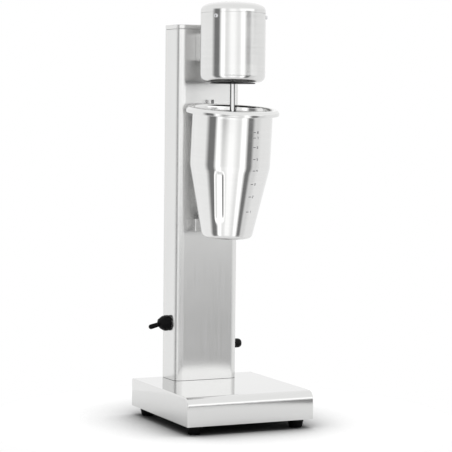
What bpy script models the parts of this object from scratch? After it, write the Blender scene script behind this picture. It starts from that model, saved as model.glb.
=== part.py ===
"""Milkshake mixer: a folded steel base and column, a motor head, and a hanging mixing cup.

Metres, +Z up. The origin is on the surface that the feet stand on, in the middle of the base.
The front of the machine, where the cup hangs, faces -Y.
"""
import math

import bmesh
import bpy
from mathutils import Matrix, Vector

GAP = 0.0003                      # clearance left between pieces that touch
SHEET = 0.0012                    # thickness of the folded steel sheet
SMALL_HOLE = 0.0019               # radius of a clearance hole for a 3 mm screw
LARGE_HOLE = 0.0028               # radius of a clearance hole for a 5 mm bolt

# Base
BASE_WIDTH = 0.170
BASE_DEPTH = 0.180
BASE_HEIGHT = 0.035
BASE_FRONT_ROLL = 0.0105          # radius of the rolled front edge
BASE_REAR_ROLL = 0.0025
BASE_BEND = 0.0009                # rounding of the cover's side edges
BASE_PLATE = (0.0120, 0.0135)     # bottom and top of the plate that closes the base
FOOT_HEIGHT = 0.0115              # how far the feet lift the base
FOOT_INSET_X = 0.016
FOOT_INSET_Y = 0.017
FOOT_RADIUS = 0.0098
FOOT_BORE = 0.0025
FOOT_RECESS = 0.0055              # depth of the pocket that hides the foot's screw head
BASE_TOP = FOOT_HEIGHT + BASE_HEIGHT

# Column
COLUMN_WIDTH = 0.088
COLUMN_FRONT = 0.044              # y of the column's front face
COLUMN_REAR = 0.0869              # y of the folded rear flanges
COLUMN_CORNER = 0.0115
COLUMN_REAR_CORNER = 0.002
COLUMN_TOP = 0.500
TOP_CAP_HEIGHT = 0.0057
FLANGE_EDGE = 0.028               # half the width of the open back
COVER_HALF_WIDTH = 0.037
COVER_BOTTOM = 0.052
COVER_TOP = 0.488
COVER_THICKNESS = 0.001
COVER_BACK = COLUMN_REAR + GAP + COVER_THICKNESS
COVER_SCREW_X = 0.0325
COVER_SCREW_Z = (0.070, 0.470)
ANCHOR_BOLT_X = 0.025
ANCHOR_TOP = 0.075
ANCHOR_FLOOR = 0.003              # thickness of the bracket where it is bolted down
ANCHOR_WALL = 0.002
COLUMN_MIDDLE = 0.067             # y of the switch, the fuse holder and the anchor bolts

# Head
HEAD_AXIS_Y = -0.0245
HEAD_RADIUS = 0.0405
HEAD_BOTTOM = 0.4264
HEAD_FILLET = 0.009
HEAD_SEAM = 0.5112
HEAD_TOP = 0.5257
DOME_EXPONENT = 3.2               # squareness of the cap's rounded edge
CAP_SKIRT = 0.0095                # how far the cap reaches down inside the housing
HEAD_SCREW_Z = 0.5070
HEAD_SCREW_ANGLE = -145.6         # degrees, the first of three
HEAD_OPENING = 0.0262             # radius of the hole in the housing's underside
PLATE_RADIUS = 0.0283
PLATE_BOTTOM = 0.425
PLATE_TOP = 0.434
PLATE_BORE = 0.0084

# Neck between head and column
NECK_WIDTH = 0.040
NECK_BOTTOM = 0.4535
NECK_TOP = 0.4895
NECK_WALL = 0.0025
NECK_CORNER = 0.003
NECK_BOLT_Z = (0.463, 0.480)

# Motor, as the bottom and top of each piece on the head's axis
LOWER_BRACKET_Z = (0.4365, 0.4465)
LOWER_BEARING_Z = (0.4398, 0.4465)
LOWER_WINDING_Z = (0.4475, 0.4527)
STATOR_Z = (0.4530, 0.4830)
UPPER_WINDING_Z = (0.4833, 0.4885)
BRUSH_RING_Z = (0.4892, 0.4970)
BRUSH_Z = (0.4905, 0.4950)
UPPER_BRACKET_Z = (0.4985, 0.5085)
UPPER_BEARING_Z = (0.5018, 0.5085)
ROTOR_Z = (0.4550, 0.4810)
COMMUTATOR_Z = (0.4850, 0.4960)
SHAFT_Z = (0.4325, 0.5165)
FAN_Z = (0.5100, 0.5112)          # the fan's disc, under its blades
FAN_HUB_TOP = 0.5150
FAN_BLADE_TOP = 0.5145
FAN_RADIUS = 0.022
FAN_BLADES = 6

# Spindle
SPINDLE_RADIUS = 0.0031
SHAFT_RADIUS = 0.004
BEARING_RADIUS = 0.011
COUPLING_RADIUS = 0.0076
COUPLING_Z = (0.4277, 0.4362)
COUPLING_STEP = 0.4322            # where the shaft's bore meets the spindle's
SPINDLE_TOP = 0.4320
SPINDLE_BOTTOM = 0.2528
AGITATOR_RADIUS = 0.014
AGITATOR_Z = (0.2548, 0.2578)
AGITATOR_HUB_RADIUS = 0.0062

# Cup, which hangs tilted with its bottom towards the column
CUP_TILT = math.radians(5.5)
CUP_BOTTOM = (0, -0.0113, 0.2352)  # centre of the outer bottom
CUP_HEIGHT = 0.1608
CUP_RADIUS = 0.050
CUP_FOOT_RADIUS = 0.0319
CUP_RIM_RADIUS = 0.058
CUP_CREASE = 0.0885               # height where the straight wall meets the taper
CUP_BLEND = 0.009                 # how far the rounding reaches to each side of the crease
CUP_WALL = 0.001

# Hook and lower rest
HOOK_BOTTOM = 0.372
HOOK_SHEET = 0.002
HOOK_HALF_WIDTH = 0.0105
HOOK_TONGUE_HALF_WIDTH = 0.007
HOOK_SCREW_Z = 0.379
HOOK_SEAT = 0.3895
HOOK_LIP_FRONT = 0.0256
HOOK_LIP_TOP = 0.3982
FINGER_TOP = 0.4055
REST_BOTTOM = 0.238
REST_TOP = 0.254
REST_FRONT = 0.0260
REST_SHEET = 0.0015
REST_HALF_WIDTHS = (0.031, 0.018, 0.015)   # ears, foot of the hat and its crown

# Controls
SWITCH_Z = 0.119
SWITCH_HOLE = 0.0062
SWITCH_DEPTH = 0.022
BUSHING_RADIUS = 0.0058
BOOT_RADIUS = 0.010
LEVER_PIVOT = 0.008               # distance of the lever's pivot outside the column's side
LEVER_REACH = 0.0200
LEVER_TIP_RADIUS = 0.0032
LEVER_TILT = math.radians(14)
FUSE_Z = 0.0887
GLAND_Z = 0.075
GLAND_BORE = 0.0033
GLAND_NECK = 0.0055

SIDE = COLUMN_WIDTH / 2
TO_REAR = Matrix.Rotation(math.radians(-90), 4, "X")   # turns +Z to +Y
TO_FRONT = Matrix.Rotation(math.radians(90), 4, "X")   # turns +Z to -Y
TO_LEFT = Matrix.Rotation(math.radians(-90), 4, "Y")   # turns +Z to -X
TO_RIGHT = Matrix.Rotation(math.radians(90), 4, "Y")   # turns +Z to +X


def clear_scene():
    for obj in list(bpy.data.objects):
        bpy.data.objects.remove(obj, do_unlink=True)


def make_collection(name):
    collection = bpy.data.collections.new(name)
    bpy.context.scene.collection.children.link(collection)
    return collection


def make_material(name, colour, roughness, metallic):
    material = bpy.data.materials.new(name)
    material.use_nodes = True
    shader = material.node_tree.nodes["Principled BSDF"]
    shader.inputs["Base Color"].default_value = (*colour, 1)
    shader.inputs["Roughness"].default_value = roughness
    shader.inputs["Metallic"].default_value = metallic
    return material


clear_scene()
PARTS = make_collection("milkshake_mixer")
CUTTERS = make_collection("cutters")
STEEL = make_material("brushed_steel", (0.72, 0.72, 0.71), 0.30, 1.0)
POLISHED = make_material("polished_steel", (0.80, 0.80, 0.80), 0.14, 1.0)
ZINC = make_material("zinc_plate", (0.62, 0.63, 0.64), 0.35, 1.0)
SCREW_STEEL = make_material("screw_steel", (0.55, 0.55, 0.56), 0.30, 1.0)
BLACK = make_material("black_plastic", (0.018, 0.018, 0.019), 0.38, 0.0)
RUBBER = make_material("black_rubber", (0.014, 0.014, 0.014), 0.65, 0.0)
LAMINATION = make_material("lamination_steel", (0.33, 0.34, 0.36), 0.45, 1.0)
COPPER = make_material("copper_winding", (0.72, 0.34, 0.18), 0.40, 1.0)
CARBON = make_material("carbon", (0.03, 0.03, 0.03), 0.55, 0.0)


def finish_object(name, mesh_builder, material, collection=None):
    """Turn a bmesh into a named object in its collection."""
    mesh = bpy.data.meshes.new(name)
    mesh_builder.to_mesh(mesh)
    mesh_builder.free()
    obj = bpy.data.objects.new(name, mesh)
    (collection or PARTS).objects.link(obj)
    if material:
        mesh.materials.append(material)
    return obj


def block(name, low, high, material, bevel=0.0, collection=None):
    """A box between two corners, with rounded edges when bevel is given."""
    builder = bmesh.new()
    bmesh.ops.create_cube(builder, size=1)
    bmesh.ops.scale(builder, vec=Vector(high) - Vector(low), verts=builder.verts)
    obj = finish_object(name, builder, material, collection)
    obj.location = (Vector(low) + Vector(high)) / 2
    if bevel:
        rounding = obj.modifiers.new("rounding", "BEVEL")
        rounding.width = bevel
        rounding.segments = 2
    return obj


def turned(name, profile, material, at=(0, 0, 0), turn=None, segments=16, closed=False):
    """Turn a profile of (radius, height) points, which runs down its outer side, about +Z."""
    builder = bmesh.new()
    points = [builder.verts.new((radius, 0, height)) for radius, height in profile]
    for first, second in zip(points, points[1:]):
        builder.edges.new((first, second))
    if closed:
        builder.edges.new((points[-1], points[0]))
    obj = finish_object(name, builder, material)
    screw = obj.modifiers.new("turning", "SCREW")
    screw.axis = "Z"
    screw.steps = segments
    screw.render_steps = segments
    screw.use_merge_vertices = True
    screw.merge_threshold = 0.00001
    screw.use_smooth_shade = True
    obj.matrix_world = Matrix.Translation(at) @ (turn or Matrix())
    return obj


def prism(name, outline, depth, material, at=(0, 0, 0), turn=None, collection=None):
    """Extrude a closed flat outline by depth along +Z, then turn it and put it in place."""
    builder = bmesh.new()
    face = builder.faces.new([builder.verts.new((x, y, 0)) for x, y in outline])
    raised = bmesh.ops.extrude_face_region(builder, geom=[face])
    moved = [item for item in raised["geom"] if isinstance(item, bmesh.types.BMVert)]
    bmesh.ops.translate(builder, vec=(0, 0, depth), verts=moved)
    bmesh.ops.recalc_face_normals(builder, faces=builder.faces)
    obj = finish_object(name, builder, material, collection)
    obj.matrix_world = Matrix.Translation(at) @ (turn or Matrix())
    return obj


def folded_sheet(name, path, bottom, top, thickness, material):
    """Raise an open path into a wall and thicken it towards the path's left-hand side."""
    builder = bmesh.new()
    points = [builder.verts.new((x, y, bottom)) for x, y in path]
    edges = [builder.edges.new(pair) for pair in zip(points, points[1:])]
    raised = bmesh.ops.extrude_edge_only(builder, edges=edges)
    moved = [item for item in raised["geom"] if isinstance(item, bmesh.types.BMVert)]
    bmesh.ops.translate(builder, vec=(0, 0, top - bottom), verts=moved)
    obj = finish_object(name, builder, material)
    wall = obj.modifiers.new("sheet", "SOLIDIFY")
    wall.thickness = thickness
    wall.offset = 1
    wall.use_even_offset = True
    return obj


def as_cutter(obj):
    obj.hide_render = True
    obj.display_type = "WIRE"
    return obj


def hole_cutter(name, holes, length=0.008, segments=16):
    """One cutter of several cylinders, each given as (centre, axis, radius)."""
    builder = bmesh.new()
    for centre, axis, radius in holes:
        place = Matrix.Translation(centre) @ Vector(axis).to_track_quat("Z", "Y").to_matrix().to_4x4()
        bmesh.ops.create_cone(builder, cap_ends=True, segments=segments, radius1=radius,
                              radius2=radius, depth=length, matrix=place)
    return as_cutter(finish_object(name, builder, None, CUTTERS))


def combine(obj, other, operation="DIFFERENCE"):
    boolean = obj.modifiers.new(operation.lower(), "BOOLEAN")
    boolean.operation = operation
    boolean.object = other
    return obj


def arc(centre, radius, start, end, steps):
    """Points on an arc between two angles in degrees, both ends included."""
    angles = [math.radians(start + (end - start) * step / steps) for step in range(steps + 1)]
    return [(centre[0] + radius * math.cos(a), centre[1] + radius * math.sin(a)) for a in angles]


def rounded_rectangle(width, height, radius, steps=3):
    """Outline centred on the origin, anticlockwise."""
    x, y = width / 2 - radius, height / 2 - radius
    corners = (((x, y), 0), ((-x, y), 90), ((-x, -y), 180), ((x, -y), 270))
    return [point for centre, start in corners for point in arc(centre, radius, start, start + 90, steps)]


def screw(name, at, turn, head_radius, head_height, shank_radius, shank_length, material=SCREW_STEEL):
    """A round-headed screw: its head rises from the origin, its shank goes down."""
    profile = [(0, head_height), (head_radius * 0.6, head_height * 0.92),
               (head_radius * 0.9, head_height * 0.6), (head_radius, 0),
               (shank_radius, 0), (shank_radius, -shank_length + shank_radius * 0.5),
               (shank_radius * 0.5, -shank_length), (0, -shank_length)]
    return turned(name, profile, material, at, turn, segments=10)


# ---------------------------------------------------------------- base

def base_outline(inset, bottom):
    """Side view of the base cover as (y, z), clockwise from the lower front."""
    front, rear, top = -BASE_DEPTH / 2 + inset, BASE_DEPTH / 2 - inset, BASE_TOP - inset
    roll, rear_roll = BASE_FRONT_ROLL - inset, BASE_REAR_ROLL - inset
    return ([(front, bottom)] + arc((front + roll, top - roll), roll, 180, 90, 6)
            + arc((rear - rear_roll, top - rear_roll), rear_roll, 90, 0, 3) + [(rear, bottom)])


def base_prism(name, inset, bottom, half_width, material, collection=None):
    """Extrude the side view across the width of the base."""
    across = Matrix(((0, 0, 1, 0), (1, 0, 0, 0), (0, 1, 0, 0), (0, 0, 0, 1)))
    outline = base_outline(inset, bottom)
    return prism(name, outline, 2 * half_width, material, (-half_width, 0, 0), across, collection)


def foot_places():
    x, y = BASE_WIDTH / 2 - FOOT_INSET_X, BASE_DEPTH / 2 - FOOT_INSET_Y
    return {"front_left": (-x, -y, 0), "front_right": (x, -y, 0),
            "rear_left": (-x, y, 0), "rear_right": (x, y, 0)}


def make_base():
    cover = base_prism("base_cover", 0, FOOT_HEIGHT, BASE_WIDTH / 2, STEEL)
    edges = cover.modifiers.new("bends", "BEVEL")
    edges.width = BASE_BEND
    edges.segments = 2
    combine(cover, as_cutter(base_prism("base_hollow", SHEET, 0.004, BASE_WIDTH / 2 - SHEET, None, CUTTERS)))
    bolts = [((side * ANCHOR_BOLT_X, COLUMN_MIDDLE, BASE_TOP), (0, 0, 1), LARGE_HOLE) for side in (-1, 1)]
    combine(cover, hole_cutter("base_bolt_holes", bolts))
    x, y = BASE_WIDTH / 2 - SHEET - GAP, BASE_DEPTH / 2 - SHEET - GAP
    plate = block("base_bottom_plate", (-x, -y, BASE_PLATE[0]), (x, y, BASE_PLATE[1]), ZINC)
    screw_holes = [(place, (0, 0, 1), FOOT_BORE) for place in foot_places().values()]
    combine(plate, hole_cutter("foot_holes", screw_holes, 0.040))
    for place_name, place in foot_places().items():
        make_foot(place_name, place)


def make_foot(place_name, place):
    top, pocket = BASE_PLATE[0] - GAP, 0.0046
    foot = [(FOOT_BORE, top), (FOOT_RADIUS, top), (FOOT_RADIUS * 0.93, 0.0060), (FOOT_RADIUS * 0.86, 0.0012),
            (FOOT_RADIUS * 0.78, 0), (pocket, 0), (pocket, FOOT_RECESS), (FOOT_BORE, FOOT_RECESS)]
    turned("foot_" + place_name, foot, RUBBER, place, closed=True)
    head, shank, seat = pocket - 0.0004, FOOT_BORE - 0.0004, FOOT_RECESS - GAP
    bolt = [(0, 0.0190), (shank - 0.0006, 0.0190), (shank, 0.0184), (shank, seat), (head, seat),
            (head, seat - 0.0016), (head - 0.0008, seat - 0.0024), (0, seat - 0.0024)]
    turned("foot_screw_" + place_name, bolt, SCREW_STEEL, place, segments=10)


# ---------------------------------------------------------------- column

def column_path():
    """Plan of the column's outer face, anticlockwise from the rear left flange."""
    front_y, front_x = COLUMN_FRONT + COLUMN_CORNER, SIDE - COLUMN_CORNER
    rear_corner = COLUMN_REAR_CORNER
    left = arc((-SIDE + rear_corner, COLUMN_REAR - rear_corner), rear_corner, 90, 180, 2)
    left += arc((-front_x, front_y), COLUMN_CORNER, 180, 270, 6)
    right = [(-x, y) for x, y in reversed(left)]
    return left + right


def column_front_holes():
    bolts = [((0, COLUMN_FRONT, z), (0, 1, 0), LARGE_HOLE) for z in NECK_BOLT_Z]
    return bolts + [(place, (0, 1, 0), SMALL_HOLE) for place in hook_screw_places()]


def cover_screw_places():
    return [(x, COVER_BACK + GAP, z) for z in COVER_SCREW_Z for x in (-COVER_SCREW_X, COVER_SCREW_X)]


def make_column():
    path = [(-FLANGE_EDGE, COLUMN_REAR)] + column_path() + [(FLANGE_EDGE, COLUMN_REAR)]
    shell_top = COLUMN_TOP - TOP_CAP_HEIGHT - GAP
    shell = folded_sheet("column_shell", path, BASE_TOP + GAP, shell_top, SHEET, STEEL)
    rear_holes = [(place, (0, 1, 0), SMALL_HOLE) for place in cover_screw_places()]
    side_holes = [((-SIDE, COLUMN_MIDDLE, SWITCH_Z), (1, 0, 0), SWITCH_HOLE),
                  ((SIDE, COLUMN_MIDDLE, FUSE_Z), (1, 0, 0), SWITCH_HOLE)]
    combine(shell, hole_cutter("column_holes", column_front_holes() + rear_holes + side_holes))

    cap = prism("column_top_cap", column_path(), TOP_CAP_HEIGHT, STEEL,
                (0, 0, COLUMN_TOP - TOP_CAP_HEIGHT))
    inner = [(x * (1 - SHEET / SIDE), COLUMN_MIDDLE + (y - COLUMN_MIDDLE) * 0.94) for x, y in column_path()]
    combine(cap, as_cutter(prism("cap_hollow", inner, TOP_CAP_HEIGHT - SHEET + 0.003, None,
                                 (0, 0, COLUMN_TOP - TOP_CAP_HEIGHT - 0.003), None, CUTTERS)))

    front = COLUMN_REAR + GAP
    cover = block("column_back_cover", (-COVER_HALF_WIDTH, front, COVER_BOTTOM),
                  (COVER_HALF_WIDTH, COVER_BACK, COVER_TOP), STEEL)
    gland = [((0, COVER_BACK, GLAND_Z), (0, 1, 0), GLAND_NECK + GAP)]
    combine(cover, hole_cutter("cover_holes", rear_holes + gland))
    for index, place in enumerate(cover_screw_places(), 1):
        screw(f"back_cover_screw_{index}", place, TO_REAR, 0.0032, 0.0015, 0.0016, 0.008)
    make_anchor()
    make_gland()


def make_anchor():
    """The bracket inside the column's foot, bolted down through the top of the base."""
    floor, width, depth = BASE_TOP + GAP, SIDE - SHEET - GAP, 0.024
    raised, inner = floor + ANCHOR_FLOOR, width - ANCHOR_WALL
    outline = [(-width, floor), (width, floor), (width, ANCHOR_TOP), (inner, ANCHOR_TOP), (inner, raised),
               (-inner, raised), (-inner, ANCHOR_TOP), (-width, ANCHOR_TOP)]
    anchor = prism("column_anchor", outline, depth, ZINC, (0, COLUMN_MIDDLE + depth / 2, 0), TO_FRONT)
    places = [(side * ANCHOR_BOLT_X, COLUMN_MIDDLE, raised + GAP) for side in (-1, 1)]
    combine(anchor, hole_cutter("anchor_holes", [(place, (0, 0, 1), LARGE_HOLE) for place in places], 0.012))
    for side, place in zip(("left", "right"), places):
        screw("anchor_bolt_" + side, place, None, 0.0045, 0.0032, 0.0025, 0.016)


def make_gland():
    """Rubber grommet in the back cover, where the mains lead comes in."""
    flange, neck, bore = 0.008, GLAND_NECK, GLAND_BORE
    outer_face = COVER_BACK + GAP
    thickness = BASE_DEPTH / 2 - outer_face
    inner = COLUMN_REAR - SHEET - GAP - outer_face
    profile = [(bore, thickness), (flange - 0.0006, thickness), (flange, thickness * 0.6), (flange, 0),
               (neck, 0), (neck, inner), (flange, inner), (flange - 0.001, inner - 0.002),
               (bore, inner - 0.002)]
    turned("cable_gland", profile, RUBBER, (0, outer_face, GLAND_Z), TO_REAR, closed=True)


# ---------------------------------------------------------------- head

def around_head(radius, degrees, height):
    angle = math.radians(degrees)
    return (radius * math.cos(angle), HEAD_AXIS_Y + radius * math.sin(angle), height)


def head_screw_angles():
    return [HEAD_SCREW_ANGLE + 120 * index for index in range(3)]


def dome(radius, bottom, height, steps):
    """Quarter of a superellipse from the axis out to the full radius."""
    power = 2 / DOME_EXPONENT
    angles = [math.radians(90 - 90 * step / steps) for step in range(steps + 1)]
    return [(radius * max(math.cos(a), 0) ** power if step else 0,
             bottom + height * max(math.sin(a), 0) ** power) for step, a in enumerate(angles)]


def make_head():
    centre_r, centre_z = HEAD_RADIUS - HEAD_FILLET, HEAD_BOTTOM + HEAD_FILLET
    outer = [(HEAD_RADIUS, HEAD_SEAM)] + arc((centre_r, centre_z), HEAD_FILLET, 0, -90, 6)
    inner = arc((centre_r, centre_z), HEAD_FILLET - SHEET, -90, 0, 6) + [(HEAD_RADIUS - SHEET, HEAD_SEAM)]
    lip = HEAD_OPENING
    housing = turned("head_housing", outer + [(lip, HEAD_BOTTOM), (lip, HEAD_BOTTOM + SHEET)] + inner, STEEL,
                     (0, HEAD_AXIS_Y, 0), segments=40, closed=True)
    screw_holes = [(around_head(HEAD_RADIUS, angle, HEAD_SCREW_Z),
                    (math.cos(math.radians(angle)), math.sin(math.radians(angle)), 0), 0.0017)
                   for angle in head_screw_angles()]
    neck_holes = [((0, HEAD_AXIS_Y + HEAD_RADIUS, z), (0, 1, 0), LARGE_HOLE) for z in NECK_BOLT_Z]
    combine(housing, hole_cutter("housing_holes", screw_holes + neck_holes, 0.010))

    seat, skirt = HEAD_SEAM + GAP, HEAD_RADIUS - SHEET - GAP
    rise = HEAD_TOP - seat
    profile = dome(HEAD_RADIUS, seat, rise, 9) + [(skirt, seat), (skirt, seat - CAP_SKIRT)]
    inside = dome(skirt - SHEET, seat, rise - SHEET, 7)
    profile += [(skirt - SHEET, seat - CAP_SKIRT)] + list(reversed(inside))
    cap = turned("head_cap", profile, STEEL, (0, HEAD_AXIS_Y, 0), segments=40)
    combine(cap, hole_cutter("cap_holes", screw_holes, 0.010))
    for index, angle in enumerate(head_screw_angles(), 1):
        turn = Matrix.Rotation(math.radians(angle), 4, "Z") @ TO_RIGHT
        screw(f"head_screw_{index}", around_head(HEAD_RADIUS + GAP, angle, HEAD_SCREW_Z), turn,
              0.0026, 0.0016, 0.0014, 0.006)

    boss, seat = lip - GAP, HEAD_BOTTOM - GAP
    plate = [(PLATE_BORE, PLATE_TOP), (boss, PLATE_TOP), (boss, seat), (PLATE_RADIUS, seat),
             (PLATE_RADIUS, PLATE_BOTTOM + 0.0006), (PLATE_RADIUS - 0.0006, PLATE_BOTTOM),
             (PLATE_BORE, PLATE_BOTTOM)]
    turned("head_bottom_plate", plate, BLACK, (0, HEAD_AXIS_Y, 0), segments=32, closed=True)


def make_neck():
    """A short rectangular tube between the column and the round housing."""
    rear = COLUMN_FRONT - GAP
    height = NECK_TOP - NECK_BOTTOM
    middle = (0, rear, (NECK_TOP + NECK_BOTTOM) / 2)
    outline = rounded_rectangle(NECK_WIDTH, height, NECK_CORNER)
    neck = prism("neck_block", outline, 0.038, STEEL, middle, TO_FRONT)
    bore = rounded_rectangle(NECK_WIDTH - 2 * NECK_WALL, height - 2 * NECK_WALL, 0.001, 1)
    start = (0, rear + 0.010, middle[2])
    combine(neck, as_cutter(prism("neck_bore", bore, 0.060, None, start, TO_FRONT, CUTTERS)))
    head = [((0, HEAD_AXIS_Y, middle[2]), (0, 0, 1), HEAD_RADIUS + GAP)]
    combine(neck, hole_cutter("head_shape", head, 0.080, 96))
    for name, z in zip(("lower", "upper"), NECK_BOLT_Z):
        screw("neck_bolt_" + name, (0, COLUMN_FRONT + SHEET + GAP, z), TO_REAR, 0.0046, 0.0034, 0.0025, 0.036)


# ---------------------------------------------------------------- motor

def ring(name, inner, outer, level, material):
    """A plain ring on the head's axis, between the two heights of its level."""
    bottom, top = level
    profile = [(inner, top), (outer, top), (outer, bottom), (inner, bottom)]
    return turned(name, profile, material, (0, HEAD_AXIS_Y, 0), segments=24, closed=True)


def bearing_bracket(name, level):
    """End plate of the motor, with a round pocket for its bearing."""
    bottom, wall_top = level
    floor, plate, bore, pocket = bottom + 0.003, 0.0365, 0.0075, BEARING_RADIUS + GAP
    wall = pocket + 0.002
    profile = [(plate, floor), (plate, bottom), (bore, bottom), (bore, floor), (pocket, floor),
               (pocket, wall_top), (wall, wall_top), (wall, floor)]
    return turned(name, profile, ZINC, (0, HEAD_AXIS_Y, 0), segments=24, closed=True)


def make_motor():
    bore = SHAFT_RADIUS + GAP
    bearing_bracket("motor_lower_bracket", LOWER_BRACKET_Z)
    ring("lower_bearing", bore, BEARING_RADIUS, LOWER_BEARING_Z, SCREW_STEEL)
    ring("winding_lower", 0.018, 0.027, LOWER_WINDING_Z, COPPER)
    ring("stator", 0.017, 0.0307, STATOR_Z, LAMINATION)
    ring("winding_upper", 0.018, 0.027, UPPER_WINDING_Z, COPPER)
    ring("brush_ring", 0.0203, 0.0290, BRUSH_RING_Z, BLACK)
    for side, sign in (("left", -1), ("right", 1)):
        ends = sorted((sign * 0.0099, sign * 0.0196))
        block("carbon_brush_" + side, (ends[0], HEAD_AXIS_Y - 0.0025, BRUSH_Z[0]),
              (ends[1], HEAD_AXIS_Y + 0.0025, BRUSH_Z[1]), CARBON)
    bearing_bracket("motor_upper_bracket", UPPER_BRACKET_Z)
    ring("upper_bearing", bore, BEARING_RADIUS, UPPER_BEARING_Z, SCREW_STEEL)

    ring("rotor_core", bore, 0.0164, ROTOR_Z, LAMINATION)
    ring("commutator", bore, 0.0096, COMMUTATOR_Z, COPPER)
    make_fan(bore)
    bottom, top = SHAFT_Z
    shaft = [(0, top), (SHAFT_RADIUS - 0.0005, top), (SHAFT_RADIUS, top - 0.0005), (SHAFT_RADIUS, bottom),
             (0, bottom)]
    turned("motor_shaft", shaft, SCREW_STEEL, (0, HEAD_AXIS_Y, 0))


def make_fan(bore):
    """Cooling fan: a disc with straight radial blades on top."""
    bottom, top = FAN_Z
    hub = 0.008
    profile = [(bore, FAN_HUB_TOP), (hub, FAN_HUB_TOP), (hub, top), (FAN_RADIUS, top), (FAN_RADIUS, bottom),
               (bore, bottom)]
    fan = turned("cooling_fan", profile, BLACK, (0, HEAD_AXIS_Y, 0), closed=True)
    for index in range(FAN_BLADES):
        blade = block(f"fan_blade_{index}", (hub - 0.0005, -0.0006, top - 0.0004),
                      (FAN_RADIUS - 0.0005, 0.0006, FAN_BLADE_TOP), None, 0, CUTTERS)
        spin = Matrix.Rotation(2 * math.pi * (index + 0.5) / FAN_BLADES, 4, "Z")
        on_axis = Matrix.Translation((0, HEAD_AXIS_Y, 0))
        blade.matrix_world = on_axis @ spin @ Matrix.Translation(blade.location)
        combine(fan, as_cutter(blade), "UNION")


def make_spindle():
    axis = (0, HEAD_AXIS_Y, 0)
    shaft_bore, bore = SHAFT_RADIUS + GAP, SPINDLE_RADIUS + GAP
    bottom, top = COUPLING_Z
    coupling = [(shaft_bore, top), (COUPLING_RADIUS, top), (COUPLING_RADIUS, bottom + 0.0008),
                (COUPLING_RADIUS - 0.0008, bottom), (bore, bottom), (bore, COUPLING_STEP),
                (shaft_bore, COUPLING_STEP)]
    turned("spindle_coupling", coupling, SCREW_STEEL, axis, closed=True)
    rod = [(0, SPINDLE_TOP), (SPINDLE_RADIUS, SPINDLE_TOP), (SPINDLE_RADIUS, SPINDLE_BOTTOM),
           (0, SPINDLE_BOTTOM)]
    turned("spindle", rod, POLISHED, axis)
    bottom, top = AGITATOR_Z
    hub, rim = AGITATOR_HUB_RADIUS, AGITATOR_RADIUS
    disc = [(bore, top), (hub, top), (hub, top - 0.0014), (rim - 0.0004, top - 0.0006), (rim, top - 0.0012),
            (rim - 0.0004, top - 0.0020), (hub, bottom), (bore, bottom)]
    turned("agitator_disc", disc, POLISHED, axis, segments=32, closed=True)
    top, radius, floor = AGITATOR_Z[0] - GAP, 0.0048, SPINDLE_BOTTOM - GAP
    nut = [(bore, top), (radius, top), (radius, floor + 0.0001), (radius - 0.0012, floor - 0.0011),
           (0, floor - 0.0015), (0, floor), (bore, floor)]
    turned("agitator_nut", nut, POLISHED, axis, closed=True)


# ---------------------------------------------------------------- cup and its supports

def cup_wall_line(offset):
    """The side of the cup from foot to rim as (radius, height), offset inwards."""
    slope = (CUP_RADIUS - CUP_FOOT_RADIUS) / CUP_CREASE
    low, high = CUP_CREASE - CUP_BLEND, CUP_CREASE + CUP_BLEND
    foot = CUP_FOOT_RADIUS - offset
    points = [(foot + slope * 0.004, 0.004), (foot + slope * low, low)]
    for step in (1, 2, 3):
        t = step / 4
        start, end = points[1][0], CUP_RADIUS - offset
        radius = (1 - t) ** 2 * start + 2 * t * (1 - t) * end + t * t * end
        points.append((radius, (1 - t) ** 2 * low + 2 * t * (1 - t) * CUP_CREASE + t * t * high))
    return points + [(CUP_RADIUS - offset, high)]


def make_cup():
    rim, top, wall = CUP_RIM_RADIUS, CUP_HEIGHT, CUP_WALL
    inside = [(0, wall), (CUP_FOOT_RADIUS - 0.0040, wall), (CUP_FOOT_RADIUS - 0.0016, wall + 0.0010)]
    inside += cup_wall_line(wall)
    over = [(CUP_RADIUS - wall, top - 0.0035), (CUP_RADIUS - 0.0002, top - 0.0010),
            (CUP_RADIUS + 0.0020, top), (rim - 0.0026, top),
            (rim - 0.0006, top - 0.0012), (rim, top - 0.0034), (rim, top - 0.0066),
            (rim - 0.0005, top - 0.0074), (rim - wall, top - 0.0066), (rim - wall, top - 0.0038),
            (rim - 0.0016, top - 0.0019), (rim - 0.0030, top - wall), (CUP_RADIUS + 0.0023, top - wall),
            (CUP_RADIUS + 0.0006, top - 0.0019), (CUP_RADIUS, top - 0.0038)]
    outside = list(reversed(cup_wall_line(0)))
    outside += [(CUP_FOOT_RADIUS - 0.0006, 0.0014), (CUP_FOOT_RADIUS - 0.0030, 0)]
    cup = turned("cup", inside + over + outside + [(0, 0)], POLISHED, segments=40)
    cup.matrix_world = Matrix.Translation(CUP_BOTTOM) @ Matrix.Rotation(CUP_TILT, 4, "X")


def hook_screw_places():
    return [(x, COLUMN_FRONT, HOOK_SCREW_Z) for x in (-0.0065, 0.0065)]


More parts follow.
